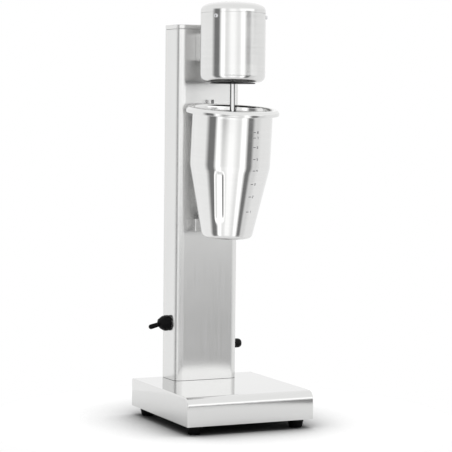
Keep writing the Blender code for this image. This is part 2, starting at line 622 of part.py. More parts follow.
def make_hook():
    """Bent plate on the column: a tongue with an upturned lip, and a finger behind the cup's rim."""
    rear, plate, sheet = COLUMN_FRONT - GAP, HOOK_BOTTOM, HOOK_SHEET
    front, seat = HOOK_LIP_FRONT, HOOK_SEAT
    outline = [(rear, plate), (rear, seat + sheet), (front + sheet, seat + sheet),
               (front + sheet, HOOK_LIP_TOP), (front, HOOK_LIP_TOP), (front, seat), (rear - sheet, seat),
               (rear - sheet, plate)]
    across = Matrix(((0, 0, 1, 0), (1, 0, 0, 0), (0, 1, 0, 0), (0, 0, 0, 1)))
    hook = prism("cup_hook", outline, 2 * HOOK_HALF_WIDTH, POLISHED, (-HOOK_HALF_WIDTH, 0, 0), across)
    for side in (-1, 1):
        ends = sorted((side * HOOK_TONGUE_HALF_WIDTH, side * 0.02))
        low = (ends[0], front - 0.0056, seat - 0.0045)
        high = (ends[1], rear - sheet - 0.0012, HOOK_LIP_TOP + 0.0018)
        combine(hook, as_cutter(block(f"hook_side_{side}", low, high, None, 0, CUTTERS)))
    low, high = (-0.0018, 0.0332, seat + 0.001), (0.0018, 0.0358, FINGER_TOP)
    combine(hook, as_cutter(block("hook_finger", low, high, None, 0, CUTTERS)), "UNION")
    screw_holes = [(place, (0, 1, 0), SMALL_HOLE) for place in hook_screw_places()]
    combine(hook, hole_cutter("hook_holes", screw_holes))
    for index, (x, y, z) in enumerate(hook_screw_places(), 1):
        place = (x, rear - sheet - GAP, z)
        screw(f"hook_screw_{index}", place, TO_FRONT, 0.0031, 0.0020, 0.0016, 0.010)


def make_rest():
    """Hat-shaped bracket with a rubber pad that keeps the bottom of the cup off the column."""
    rear = COLUMN_FRONT - GAP - REST_SHEET
    ear, foot, crown = REST_HALF_WIDTHS
    path = [(-ear, rear), (-foot, rear), (-crown, REST_FRONT), (crown, REST_FRONT), (foot, rear), (ear, rear)]
    folded_sheet("cup_rest", path, REST_BOTTOM, REST_TOP, REST_SHEET, STEEL)
    block("cup_rest_pad", (-0.012, REST_FRONT - 0.0036, REST_BOTTOM + 0.0025),
          (0.012, REST_FRONT - GAP, REST_TOP - 0.0025), RUBBER, 0.0008)


# ---------------------------------------------------------------- controls

def make_switch():
    """Toggle switch in the left side of the column, under a rubber boot."""
    wall, middle = -SIDE, COLUMN_MIDDLE
    inner_face = wall + SHEET + GAP
    body = block("switch_body", (inner_face, middle - 0.009, SWITCH_Z - 0.0135),
                 (inner_face + SWITCH_DEPTH, middle + 0.009, SWITCH_Z + 0.0135), BLACK)
    bushing = [((inner_face - 0.0040, middle, SWITCH_Z), (-1, 0, 0), BUSHING_RADIUS)]
    combine(body, hole_cutter("switch_bushing", bushing, 0.012, 20), "UNION")
    socket = [((inner_face - 0.0080, middle, SWITCH_Z), (1, 0, 0), 0.0046)]
    combine(body, hole_cutter("switch_socket", socket, 0.010, 20))

    hexagon = arc((0, 0), 0.0084, 0, 300, 5)
    nut = prism("switch_nut", hexagon, 0.0022, SCREW_STEEL, (wall - GAP, middle, SWITCH_Z), TO_LEFT)
    nut_bore = [((wall, middle, SWITCH_Z), (1, 0, 0), BUSHING_RADIUS + GAP)]
    combine(nut, hole_cutter("nut_bore", nut_bore, 0.020, 20))

    outer, inner = BOOT_RADIUS, BOOT_RADIUS - 0.0012
    boot = [(0.0053, 0.0145), (0.0062, 0.0142), (0.0081, 0.0122), (0.0094, 0.0098), (outer - 0.0001, 0.0070),
            (outer, GAP), (inner, GAP), (inner, 0.0070), (0.0082, 0.0092), (0.0070, 0.0112), (0.0059, 0.0128),
            (0.0053, 0.0131)]
    turned("switch_boot", boot, RUBBER, (wall, middle, SWITCH_Z), TO_LEFT, closed=True)

    pivot = (wall - LEVER_PIVOT, middle, SWITCH_Z)
    stem = [(0, LEVER_REACH)]
    stem += [(r, LEVER_REACH - LEVER_TIP_RADIUS + z) for r, z in arc((0, 0), LEVER_TIP_RADIUS, 68, 0, 3)]
    ball = arc((0, 0), 0.0038, 60, -90, 6)
    lever = turned("switch_lever", stem + [(0.0027, 0.006)] + ball[:-1] + [(0, -0.0038)], SCREW_STEEL)
    lever.matrix_world = Matrix.Translation(pivot) @ Matrix.Rotation(-LEVER_TILT, 4, "Y") @ TO_LEFT


def make_fuse():
    """Panel fuse holder in the right side of the column, with its bayonet cap outside."""
    wall, middle = SIDE, COLUMN_MIDDLE
    holder = [(0, 0.0020), (0.0076, 0.0020), (0.0080, 0.0016), (0.0080, GAP), (0.0059, GAP),
              (0.0059, -0.026), (0.0045, -0.027), (0, -0.027)]
    turned("fuse_holder", holder, BLACK, (wall, middle, FUSE_Z), TO_RIGHT)
    cap = [(0, 0.0150), (0.0030, 0.0148), (0.0048, 0.0138), (0.0057, 0.0121), (0.0060, 0.0100),
           (0.0060, 0.0020 + GAP), (0, 0.0020 + GAP)]
    cap_object = turned("fuse_cap", cap, BLACK, (wall, middle, FUSE_Z), TO_RIGHT)
    slot = block("fuse_cap_slot", (wall + 0.0137, middle - 0.008, FUSE_Z - 0.0006),
                 (wall + 0.020, middle + 0.008, FUSE_Z + 0.0006), None, 0, CUTTERS)
    combine(cap_object, as_cutter(slot))


make_base()
make_column()
make_head()
make_neck()
make_motor()
make_spindle()
make_cup()
make_hook()
make_rest()
make_switch()
make_fuse()
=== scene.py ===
"""Looks for the milkshake mixer: detailed shells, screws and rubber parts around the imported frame.

Metres, +Z up. The origin is on the surface under the feet; the front, with the cup, faces -Y.
"""

import math

import bmesh
import bpy
from mathutils import Matrix, Vector


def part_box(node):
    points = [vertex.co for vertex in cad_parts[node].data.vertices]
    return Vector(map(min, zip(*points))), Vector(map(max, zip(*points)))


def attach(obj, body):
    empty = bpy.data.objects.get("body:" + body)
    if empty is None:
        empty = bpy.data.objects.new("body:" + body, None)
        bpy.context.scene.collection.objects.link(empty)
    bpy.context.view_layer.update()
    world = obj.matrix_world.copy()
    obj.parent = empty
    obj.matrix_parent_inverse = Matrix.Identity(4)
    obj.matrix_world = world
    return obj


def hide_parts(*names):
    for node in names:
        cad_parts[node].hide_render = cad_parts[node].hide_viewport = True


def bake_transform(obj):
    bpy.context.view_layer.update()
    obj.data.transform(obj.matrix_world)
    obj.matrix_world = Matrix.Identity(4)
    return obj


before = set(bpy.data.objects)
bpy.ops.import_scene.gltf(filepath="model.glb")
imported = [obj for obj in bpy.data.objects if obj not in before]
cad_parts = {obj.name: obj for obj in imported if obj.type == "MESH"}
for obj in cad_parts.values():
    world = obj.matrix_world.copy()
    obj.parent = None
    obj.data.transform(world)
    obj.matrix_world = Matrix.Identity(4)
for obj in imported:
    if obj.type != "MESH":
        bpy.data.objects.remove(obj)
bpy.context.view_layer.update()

GAP = 0.0003  # clearance between touching pieces
SHEET = 0.0012  # thickness of the folded steel sheet
THIRD = 2 * math.pi / 3  # a third of a turn
CORNERS = ("front_left", "front_right", "rear_left", "rear_right")

TO_REAR = Matrix.Rotation(math.radians(-90), 4, "X")  # turns +Z to +Y
TO_FRONT = Matrix.Rotation(math.radians(90), 4, "X")  # turns +Z to -Y
TO_LEFT = Matrix.Rotation(math.radians(-90), 4, "Y")  # turns +Z to -X
TO_RIGHT = Matrix.Rotation(math.radians(90), 4, "Y")  # turns +Z to +X


# ---------------------------------------- mesh helpers

def corner_points(before, here, after, radius, steps, share):
    """The rounding of one corner of a flat path, using at most this share of the two sides."""
    back, ahead = before - here, after - here
    half = back.angle(ahead) / 2
    if radius <= 0 or half > math.radians(89.5):
        return [here]
    reach = min(radius / math.tan(half), share * back.length, share * ahead.length)
    radius = reach * math.tan(half)
    centre = here + (back.normalized() + ahead.normalized()).normalized() * radius / math.sin(half)
    start = here + back.normalized() * reach - centre
    end = here + ahead.normalized() * reach - centre
    first = math.atan2(start.y, start.x)
    sweep = (math.atan2(end.y, end.x) - first + math.pi) % (2 * math.pi) - math.pi
    angles = [first + sweep * step / steps for step in range(steps + 1)]
    return [centre + Vector((math.cos(a), math.sin(a))) * radius for a in angles]


def rounded_path(corners, closed=False, steps=5, share=0.49):
    """Flat path through (x, y) or (x, y, corner radius) points."""
    spots = [Vector(corner[:2]) for corner in corners]
    path = []
    for index, corner in enumerate(corners):
        radius = corner[2] if len(corner) > 2 else 0
        if not closed and index in (0, len(corners) - 1):
            radius = 0
        before, after = spots[index - 1], spots[(index + 1) % len(spots)]
        path += corner_points(before, spots[index], after, radius, steps, share)
    return [(point.x, point.y) for point in path]


def rounded_rectangle(width, height, radius, steps=6):
    x, y = width / 2, height / 2
    return rounded_path([(x, y, radius), (-x, y, radius), (-x, -y, radius), (x, -y, radius)], True, steps)


def offset_path(path, distance):
    """The same open path moved sideways, to its left-hand side when the distance is positive."""
    points = [Vector(point) for point in path]
    moved = []
    for index, point in enumerate(points):
        normals = []
        for first, second in ((index - 1, index), (index, index + 1)):
            if 0 <= first and second < len(points):
                along = (points[second] - points[first]).normalized()
                normals.append(Vector((-along.y, along.x)))
        middle = sum(normals, Vector((0, 0))).normalized()
        moved.append(point + middle * distance / max(middle.dot(normals[0]), 0.3))
    return [(point.x, point.y) for point in moved]


def lathe(profile, segments=96, closed=True, angles=None, push=None):
    """Turn a (radius, height) profile about Z. push(radius, angle, height) may change the radius."""
    builder = bmesh.new()
    turns = angles or [2 * math.pi * i / segments for i in range(segments)]
    rings = []
    for radius, height in profile:
        if radius < 1e-7:
            rings.append([builder.verts.new((0, 0, height))])
            continue
        ring = []
        for angle in turns:
            reach = radius + (push(radius, angle, height) if push else 0)
            ring.append(builder.verts.new((reach * math.cos(angle), reach * math.sin(angle), height)))
        rings.append(ring)
    pairs = list(zip(rings, rings[1:])) + ([(rings[-1], rings[0])] if closed else [])
    for low, high in pairs:
        for i in range(len(turns)):
            j = (i + 1) % len(turns)
            corners = [low[i % len(low)], low[j % len(low)], high[j % len(high)], high[i % len(high)]]
            unique = list(dict.fromkeys(corners))
            if len(unique) > 2:
                builder.faces.new(unique)
    return builder


def loft(rings, looped=False):
    """Skin a row of rings of 3-D points with equal counts; cap the row, or join its end to its start."""
    builder = bmesh.new()
    made = [[builder.verts.new(point) for point in ring] for ring in rings]
    count = len(made[0])
    for low, high in zip(made, made[1:] + made[:1] if looped else made[1:]):
        for i in range(count):
            j = (i + 1) % count
            builder.faces.new((low[i], low[j], high[j], high[i]))
    if not looped:
        builder.faces.new(made[0])
        builder.faces.new(made[-1])
    return builder


def slab(outline, depth, bevel=0.0, steps=3):
    """Raise a flat outline by depth and round the edges of its two ends."""
    builder = loft([[(x, y, z) for x, y in outline] for z in (0, depth)])
    bmesh.ops.recalc_face_normals(builder, faces=builder.faces)
    if bevel:
        level = [face for face in builder.faces if abs(face.normal.z) > 0.9]
        ends = [face for face in level if len(face.verts) == len(outline)]
        edges = list({edge for face in ends for edge in face.edges})
        bmesh.ops.bevel(builder, geom=edges, offset=bevel, segments=steps, profile=0.5, affect="EDGES")
    return builder


def rounded_block(low, high, radius, steps=3):
    """A box between two corners with all its edges rounded."""
    builder = bmesh.new()
    bmesh.ops.create_cube(builder, size=1)
    bmesh.ops.scale(builder, vec=Vector(high) - Vector(low), verts=builder.verts)
    bmesh.ops.translate(builder, vec=(Vector(low) + Vector(high)) / 2, verts=builder.verts)
    edges = builder.edges[:]
    bmesh.ops.bevel(builder, geom=edges, offset=radius, segments=steps, profile=0.5, affect="EDGES")
    return builder


def finished_mesh(name, builder):
    mesh = bpy.data.meshes.new(name)
    builder.to_mesh(mesh)
    builder.free()
    return mesh


def new_object(name, data):
    obj = bpy.data.objects.new(name, data)
    bpy.context.scene.collection.objects.link(obj)
    return obj


def piece(name, builder, material, body="root", replaced=(), place=None, sharp=40):
    """Make the object, shade it smooth between sharp edges, and let it ride on its body."""
    bmesh.ops.recalc_face_normals(builder, faces=builder.faces)
    limit = math.radians(sharp)
    for face in builder.faces:
        face.smooth = True
    for edge in builder.edges:
        edge.smooth = edge.calc_face_angle(0) < limit
    mesh = finished_mesh(name, builder)
    mesh.materials.append(material)
    obj = new_object(name, mesh)
    obj.matrix_world = place or Matrix()
    weighted = obj.modifiers.new("flat faces stay flat", "WEIGHTED_NORMAL")
    weighted.keep_sharp = True
    if replaced:
        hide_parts(*replaced)
    if body:
        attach(obj, body)
    return obj


def carve(obj, builder, place=None, operation="DIFFERENCE"):
    """Apply a boolean with another mesh, which is then thrown away."""
    bmesh.ops.recalc_face_normals(builder, faces=builder.faces)
    mesh = finished_mesh("cutter", builder)
    cutter = new_object("cutter", mesh)
    cutter.matrix_world = place or Matrix()
    boolean = obj.modifiers.new("carve", "BOOLEAN")
    boolean.operation = operation
    boolean.object = cutter
    obj.modifiers.move(len(obj.modifiers) - 1, 0)
    for modifier in obj.modifiers:
        modifier.show_viewport = modifier == boolean
    bpy.context.view_layer.update()
    evaluated = obj.evaluated_get(bpy.context.evaluated_depsgraph_get())
    carved = bpy.data.meshes.new_from_object(evaluated)
    old = obj.data
    obj.modifiers.remove(boolean)
    obj.data = carved
    carved.name = obj.name
    bpy.data.meshes.remove(old)
    for modifier in obj.modifiers:
        modifier.show_viewport = True
    bpy.data.objects.remove(cutter)
    bpy.data.meshes.remove(mesh)


# ---------------------------------------- materials

WEAR_WIDTH = 0.0008  # how far from an edge the rubbing reaches
SATIN_METALLIC = 0.35  # how metallic a satin surface stays; less scatters the light more


class Nodes:
    """Short way to write a material's node tree."""

    def __init__(self, tree):
        self.tree = tree

    def add(self, kind, inputs=None, **settings):
        made = self.tree.nodes.new(kind)
        for key, value in settings.items():
            setattr(made, key, value)
        for key, value in (inputs or {}).items():
            self.feed(value, made.inputs[key])
        return made

    def feed(self, value, socket):
        if isinstance(value, bpy.types.Node):
            value = value.outputs[0]
        if isinstance(value, bpy.types.NodeSocket):
            self.tree.links.new(value, socket)
        else:
            socket.default_value = value

    def math(self, operation, *values):
        return self.add("ShaderNodeMath", dict(enumerate(values)), operation=operation)

    def noise(self, vector, scale, detail=2.0, roughness=0.5):
        inputs = {"Vector": vector, "Scale": scale, "Detail": detail, "Roughness": roughness}
        return self.add("ShaderNodeTexNoise", inputs)

    def spread(self, value, low, high, start=0.3, end=0.7):
        """Map a value from between start and end to between low and high, clamped."""
        inputs = {"Value": value, "From Min": start, "From Max": end, "To Min": low, "To Max": high}
        return self.add("ShaderNodeMapRange", inputs)

    def local(self):
        """The object's own coordinates."""
        return self.add("ShaderNodeTexCoord").outputs["Object"]

    def scaled(self, vector, factors):
        return self.add("ShaderNodeVectorMath", {0: vector, 1: factors}, operation="MULTIPLY")

    def dot(self, first, second):
        product = self.add("ShaderNodeVectorMath", {0: first, 1: second}, operation="DOT_PRODUCT")
        return product.outputs["Value"]

    def shade(self, factor, first, second):
        """A colour between two, each a plain colour or another node's, by a 0 to 1 factor."""
        mixed = self.add("ShaderNodeMix", data_type="RGBA")
        for value, socket in ((factor, "Factor"), (first, "A"), (second, "B")):
            self.feed((*value, 1) if isinstance(value, tuple) else value, mixed.inputs[socket])
        return mixed.outputs["Result"]


def start_material(name, metallic):
    material = bpy.data.materials.new(name)
    material.use_nodes = True
    nodes = Nodes(material.node_tree)
    shader = material.node_tree.nodes["Principled BSDF"]
    shader.inputs["Metallic"].default_value = metallic
    return material, nodes, shader


def connect(nodes, shader, colour, roughness, height, depth, strength):
    """Give the shader its colour, its roughness and a bump."""
    bump = nodes.add("ShaderNodeBump", {"Height": height, "Distance": depth, "Strength": strength})
    for value, socket in ((colour, "Base Color"), (roughness, "Roughness"), (bump, "Normal")):
        nodes.feed(value, shader.inputs[socket])


def tint(colour, factor):
    return tuple(min(channel * factor, 1) for channel in colour)


def turned_coordinates(nodes):
    """Coordinates that run round the object's own Z axis, outwards and along it."""
    x, y, z = nodes.add("ShaderNodeSeparateXYZ", {0: nodes.local()}).outputs
    wave = nodes.math("SINE", nodes.math("ARCTAN2", y, x))
    squares = nodes.math("ADD", nodes.math("MULTIPLY", x, x), nodes.math("MULTIPLY", y, y))
    return nodes.add("ShaderNodeCombineXYZ", {0: wave, 1: nodes.math("SQRT", squares), 2: z})


def worn_edges(nodes, surface, bright):
    """Lighten the edges a little, unevenly, where handling rubs them."""
    rounded = nodes.add("ShaderNodeBevel", {"Radius": WEAR_WIDTH}, samples=4)
    flat = nodes.add("ShaderNodeNewGeometry").outputs["Normal"]
    exposed = nodes.spread(nodes.dot(rounded, flat), 1, 0, 0.80, 0.98)
    patches = nodes.spread(nodes.noise(nodes.local(), 140.0, 3.0), 0.2, 0.8)
    return nodes.shade(nodes.math("MULTIPLY", exposed, patches), surface, bright)


def painted_side_shade(nodes, surface, dark):
    """Painted shade: darken a thin round bar towards its two sides as seen from the view, standing in for the
    dark edges of its reflection.
    """
    facing = nodes.add("ShaderNodeLayerWeight", {"Blend": 0.5}).outputs["Facing"]
    return nodes.shade(nodes.spread(facing, 0, 1, 0.08, 0.34), surface, dark)


def brushed(name, colour, roughness, stretch, turned=False, anisotropy=0.0, rotation=0.0,
            contrast=0.05, depth=0.00002, spread=0.05, wide=0.4, paint_side_shade=False):
    """Steel with fine scratches along one direction, faint wide streaks and soft smudges."""
    material, nodes, shader = start_material(name, 1.0)
    source = turned_coordinates(nodes) if turned else nodes.local()
    broad_stretch = tuple(0.16 * factor for factor in stretch)
    fine = nodes.noise(nodes.scaled(source, stretch), 1.0, 4.0, 0.7)
    broad = nodes.noise(nodes.scaled(source, broad_stretch), 1.0, 2.0)
    smudge = nodes.noise(nodes.local(), 22.0, 3.0, 0.55)
    grain = nodes.math("ADD", nodes.math("MULTIPLY", fine, 1 - wide), nodes.math("MULTIPLY", broad, wide))
    shade = nodes.spread(grain, 0.0, 1.0, 0.35, 0.65)
    surface = nodes.shade(shade, tint(colour, 1 - contrast), tint(colour, 1 + contrast))
    surface = worn_edges(nodes, surface, tint(colour, 1.12))
    # Painted shade on the two sides of a thin bar.
    if paint_side_shade:
        surface = painted_side_shade(nodes, surface, tint(colour, 0.10))
    scratch_roughness = nodes.spread(grain, roughness - spread, roughness + spread)
    smudge_roughness = nodes.spread(smudge, -0.3 * spread, 0.5 * spread, 0.4, 0.75)
    uneven = nodes.math("ADD", scratch_roughness, smudge_roughness)
    connect(nodes, shader, surface, uneven, fine, depth, 0.5)
    shader.inputs["Anisotropic"].default_value = anisotropy
    shader.inputs["Anisotropic Rotation"].default_value = rotation
    return material


def moulded(name, colour, roughness, grain_size, depth, specular=0.5):
    """Plastic or rubber with a fine pebbled skin and faint uneven gloss."""
    material, nodes, shader = start_material(name, 0.0)
    source = nodes.local()
    pebble = nodes.noise(source, 1 / grain_size, 3.0, 0.6)
    cloud = nodes.noise(source, 60.0, 3.0, 0.55)
    surface = nodes.shade(cloud, tint(colour, 0.75), tint(colour, 1.35))
    surface = worn_edges(nodes, surface, tint(colour, 2.5))
    uneven = nodes.spread(cloud, roughness - 0.06, roughness + 0.08)
    connect(nodes, shader, surface, uneven, pebble, depth, 0.6)
    shader.inputs["Specular IOR Level"].default_value = specular
    return material


def speckled(name, colour, roughness, metallic, scale):
    """A dull surface with a mottled, slightly rough look: plating, castings, windings."""
    material, nodes, shader = start_material(name, metallic)
    source = nodes.local()
    spots = nodes.add("ShaderNodeTexVoronoi", {"Vector": source, "Scale": scale})
    cloud = nodes.noise(source, scale * 0.3, 3.0)
    mix = nodes.math("MULTIPLY", nodes.math("ADD", spots, cloud), 0.6)
    surface = nodes.shade(mix, tint(colour, 0.8), tint(colour, 1.12))
    surface = worn_edges(nodes, surface, tint(colour, 1.2))
    uneven = nodes.spread(cloud, roughness - 0.08, roughness + 0.1)
    connect(nodes, shader, surface, uneven, cloud, 0.00005, 0.4)
    return material


def dull_inside(material, start, full):
    """Make the wall that faces the object's own axis satin, from one height down and full at a lower one."""
    nodes = Nodes(material.node_tree)
    shader = material.node_tree.nodes["Principled BSDF"]
    place = nodes.add("ShaderNodeTexCoord").outputs
    outward = nodes.dot(nodes.scaled(place["Object"], (1, 1, 0)), place["Normal"])
    inside = nodes.spread(outward, 1, 0, -0.004, 0)
    height = nodes.add("ShaderNodeSeparateXYZ", {0: place["Object"]}).outputs[2]
    deep = nodes.math("MULTIPLY", inside, nodes.spread(height, 1, 0, full, start))
    nodes.feed(nodes.spread(deep, 1.0, SATIN_METALLIC, 0, 1), shader.inputs["Metallic"])


STEEL, LIGHT_STEEL = (0.60, 0.60, 0.595), (0.63, 0.63, 0.625)
# How dense the scratches are along each axis: few along the brushing, many across it.
ALONG_Z, ALONG_X = (1500, 1500, 14), (14, 1500, 1500)
ROUND = (3, 1800, 1800)
COLUMN_STEEL = brushed("column_steel", LIGHT_STEEL, 0.25, ALONG_Z, anisotropy=0.8, contrast=0.025,
                       depth=0.000002, spread=0.02, wide=0.1)
BASE_STEEL = brushed("base_steel", (0.61, 0.61, 0.605), 0.1, ALONG_X, contrast=0.02,
                     depth=0.000004, spread=0.02)
HEAD_STEEL = brushed("head_steel", STEEL, 0.13, ROUND, True, 0.5, 0.25, contrast=0.03,
                     depth=0.000008, spread=0.03)
CUP_STEEL = brushed("cup_steel", LIGHT_STEEL, 0.09, ROUND, True, 0.4, 0.25, contrast=0.025,
                    depth=0.000006, spread=0.025)
dull_inside(CUP_STEEL, start=0.150, full=0.132)
BRIGHT_STEEL = brushed("bright_steel", (0.62, 0.62, 0.62), 0.06, ROUND, True, contrast=0.03, depth=0.000004,
                       spread=0.03)
# Painted shade: the hook is bright steel, given a dark colour for the shade it stands in behind the cup's
# rim.
HOOK_STEEL_PAINTED_SHADE = brushed("hook_steel_painted_shade", (0.16, 0.16, 0.16), 0.12, ALONG_X, contrast=0.05,
                     depth=0.000003, spread=0.03)
# The spindle's steel carries painted shade towards its two sides.
SPINDLE_STEEL = brushed("spindle_steel", (0.56, 0.56, 0.56), 0.05, ROUND, True, contrast=0.03, depth=0.000003,
                        spread=0.02, paint_side_shade=True)
PLATE_STEEL = brushed("plate_steel", STEEL, 0.2, ALONG_X, contrast=0.04, depth=0.00001)
SCREW_STEEL = brushed("screw_steel", (0.6, 0.6, 0.61), 0.22, ROUND, True, contrast=0.08, depth=0.00001)
ZINC = speckled("zinc", (0.56, 0.57, 0.58), 0.38, 1.0, 260)
LAMINATION = speckled("lamination", (0.30, 0.31, 0.33), 0.45, 1.0, 500)
COPPER = speckled("copper_wire", (0.66, 0.30, 0.15), 0.4, 1.0, 900)
CARBON = speckled("carbon_block", (0.03, 0.03, 0.032), 0.55, 0.0, 700)
RUBBER = moulded("rubber", (0.0015, 0.0015, 0.0017), 0.45, 0.0006, 0.00003, 0.08)
PLASTIC = moulded("plastic", (0.0018, 0.0018, 0.002), 0.3, 0.0009, 0.00002, 0.12)
ETCHED = speckled("etched_marks", (0.10, 0.10, 0.11), 0.6, 0.4, 1500)


# ---------------------------------------- base

base_low, base_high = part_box("base_cover")
BASE_ROLL = 0.0105
BASE_REAR_ROLL = 0.0025
BASE_SIDE_BEND = 0.0014


def make_base():
    """The folded cover: one profile across the width, closed at both sides, open underneath."""
    front, rear, top, bottom = base_low.y, base_high.y, base_high.z, base_low.z
    side_view = rounded_path([(front, bottom), (front, top, BASE_ROLL), (rear, top, BASE_REAR_ROLL),
                              (rear, bottom)], steps=14)
    builder = loft([[(x, y, z) for y, z in side_view] for x in (base_low.x, base_high.x)])
    floor = [face for face in builder.faces if all(abs(vert.co.z - bottom) < 1e-6 for vert in face.verts)]
    bmesh.ops.delete(builder, geom=floor, context="FACES_ONLY")
    bmesh.ops.recalc_face_normals(builder, faces=builder.faces)
    ends = [face for face in builder.faces if len(face.verts) == len(side_view)]
    edges = [edge for face in ends for edge in face.edges if len(edge.link_faces) == 2]
    bmesh.ops.bevel(builder, geom=edges, offset=BASE_SIDE_BEND, segments=4, profile=0.5, affect="EDGES")
    cover = piece("base_cover_sheet", builder, BASE_STEEL, replaced=["base_cover"])
    sheet = cover.modifiers.new("sheet", "SOLIDIFY")
    sheet.thickness = SHEET
    sheet.offset = -1
    cover.modifiers.move(1, 0)


def make_feet():
    for corner in CORNERS:
        low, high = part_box("foot_" + corner)
        radius, height = (high.x - low.x) / 2, high.z - low.z
        pocket, recess, bore = 0.0046, 0.0055, 0.0025  # the screw's pocket, its depth and its hole
        lip, waist = height * 0.62, height * 0.55  # where the wide top ends and the taper starts
        profile = [(bore, height), (radius, height, 0.0006), (radius, lip, 0.0008),
                   (radius * 0.95, waist, 0.0006), (radius * 0.86, 0.0016, 0.001),
                   (radius * 0.78, 0, 0.0009), (pocket, 0, 0.0004), (pocket, recess), (bore, recess)]
        place = Matrix.Translation(((low.x + high.x) / 2, (low.y + high.y) / 2, low.z))
        piece(f"foot_{corner}_rubber", lathe(rounded_path(profile, True, 4), 56), RUBBER,
              replaced=["foot_" + corner], place=place)


# ---------------------------------------- column

column_low, column_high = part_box("column_shell")
cap_low, cap_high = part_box("column_top_cap")
back_low, back_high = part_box("column_back_cover")
SIDE = column_high.x
COLUMN_CORNER = 0.0115
REAR_CORNER = 0.002
FLANGE_EDGE = 0.028


def column_corners(front, rear):
    """The four rounded corners from above, anticlockwise from the left rear one."""
    return [(-SIDE, rear, REAR_CORNER), (-SIDE, front, COLUMN_CORNER), (SIDE, front, COLUMN_CORNER),
            (SIDE, rear, REAR_CORNER)]


def folded_wall(path, bottom, top, thickness):
    """A bent sheet standing on its edge, as a closed strip with a thickness."""
    outline = path + list(reversed(offset_path(path, thickness)))
    builder = bmesh.new()
    low, high = ([builder.verts.new((x, y, z)) for x, y in outline] for z in (bottom, top))
    count, half = len(outline), len(path)
    for i in range(count):
        j = (i + 1) % count
        builder.faces.new((low[i], low[j], high[j], high[i]))
    for ring in (low, high):
        for i in range(half - 1):
            builder.faces.new((ring[i], ring[i + 1], ring[count - 2 - i], ring[count - 1 - i]))
    return builder


def make_column():
    front, rear = column_low.y, column_high.y
    plan = [(-FLANGE_EDGE, rear), *column_corners(front, rear), (FLANGE_EDGE, rear)]
    wall = folded_wall(rounded_path(plan, steps=12), column_low.z, column_high.z, SHEET)
    piece("column_wall", wall, COLUMN_STEEL, replaced=["column_shell"])

    front, rear, height = cap_low.y, cap_high.y, cap_high.z - cap_low.z
    lid = slab(rounded_path(column_corners(front, rear), True, 12), height, 0.0008, 4)
    cap = piece("column_lid", lid, COLUMN_STEEL, replaced=["column_top_cap"],
                place=Matrix.Translation((0, 0, cap_low.z)))
    inner = rounded_rectangle(2 * (SIDE - SHEET), rear - front - 2 * SHEET, COLUMN_CORNER - SHEET, 8)
    carve(cap, slab(inner, height), Matrix.Translation((0, (front + rear) / 2, cap_low.z - SHEET)))


def make_back():
    """Rear cover with its four screws and the cable grommet."""
    width, height = back_high.x - back_low.x, back_high.z - back_low.z
    middle = (0, back_low.y, (back_low.z + back_high.z) / 2)
    cover = slab(rounded_rectangle(width, height, 0.002), back_high.y - back_low.y, 0.0003, 2)
    piece("back_cover_panel", cover, COLUMN_STEEL, replaced=["column_back_cover"],
          place=Matrix.Translation(middle) @ TO_REAR)
    for index in range(1, 5):
        make_screw(f"back_cover_screw_{index}", TO_REAR, 1, 0.0015)
    low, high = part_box("cable_gland")
    outer = back_high.y + GAP
    flange, neck, bore = 0.008, 0.0055, 0.0033
    thick, inner = high.y - outer, low.y - outer
    groove = inner + 0.002
    profile = [(bore, thick, 0.0003), (flange, thick, 0.0007), (flange, 0), (neck, 0), (neck, groove),
               (flange, groove), (flange - 0.001, inner), (bore, inner)]
    piece("cable_grommet", lathe(rounded_path(profile, True, 4), 48), RUBBER, replaced=["cable_gland"],
          place=Matrix.Translation((0, outer, (low.z + high.z) / 2)) @ TO_REAR)


def cross_recess(size, depth):
    """Cutter for a cross slot, pointing along Z with its top at the origin."""
    narrow = size * 0.24
    arms = [(narrow, size), (narrow, narrow), (size, narrow), (size, -narrow), (narrow, -narrow),
            (narrow, -size), (-narrow, -size), (-narrow, -narrow), (-size, -narrow), (-size, narrow),
            (-narrow, narrow), (-narrow, size)]
    rings = [[(x, y, depth) for x, y in arms], [(x * 0.75, y * 0.75, -depth) for x, y in arms]]
    return loft(rings)


def cut_cross(screw, place, height, size, depth, turn):
    """Cut a cross slot, turned by this angle, into the top of a screw's head of this height."""
    top = place @ Matrix.Translation((0, 0, height)) @ Matrix.Rotation(turn, 4, "Z")
    carve(screw, cross_recess(size, depth), top)


def make_screw(node, turn, sign, height):
    """A domed cross-head screw in place of the plain one; the sign says which way along Y it points."""
    low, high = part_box(node)
    radius = max(high.x - low.x, high.z - low.z) / 2
    tip = high.y if sign > 0 else low.y
    seat = ((low.x + high.x) / 2, tip - sign * height, (low.z + high.z) / 2)
    length = high.y - low.y - height
    shank = radius * 0.5
    profile = [(0, height), (radius * 0.62, height * 0.93), (radius * 0.92, height * 0.55),
               (radius, height * 0.15), (radius, 0), (shank, 0), (shank, -length + shank * 0.4),
               (shank * 0.5, -length), (0, -length)]
    place = Matrix.Translation(seat) @ turn
    screw = piece(node + "_cross", lathe(profile, 32, False), SCREW_STEEL, None, [node],
                  place, 50)
    cut_cross(screw, place, height, radius * 0.5, height * 0.6, 0.5)
    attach(screw, "root")


# ---------------------------------------- head

head_low, head_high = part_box("head_housing")
HEAD_RADIUS = (head_high.x - head_low.x) / 2
HEAD_Y = (head_low.y + head_high.y) / 2
HEAD_FILLET = 0.009
HEAD_OPENING = 0.0262
HEAD_AXIS = Matrix.Translation((0, HEAD_Y, 0))
DOME_EXPONENT = 3.2
SCREW_ANGLE = math.radians(-145.6)
SCREW_HEIGHT = 0.5070
neck_low, neck_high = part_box("neck_block")


def dome(radius, bottom, height, steps):
    """Quarter of a superellipse, from the full radius up to the axis."""
    power = 2 / DOME_EXPONENT
    points = []
    for step in range(steps + 1):
        angle = math.pi / 2 * (step / steps)
        across = radius * math.cos(angle) ** power if step < steps else 0
        points.append((across, bottom + height * math.sin(angle) ** power))
    return points


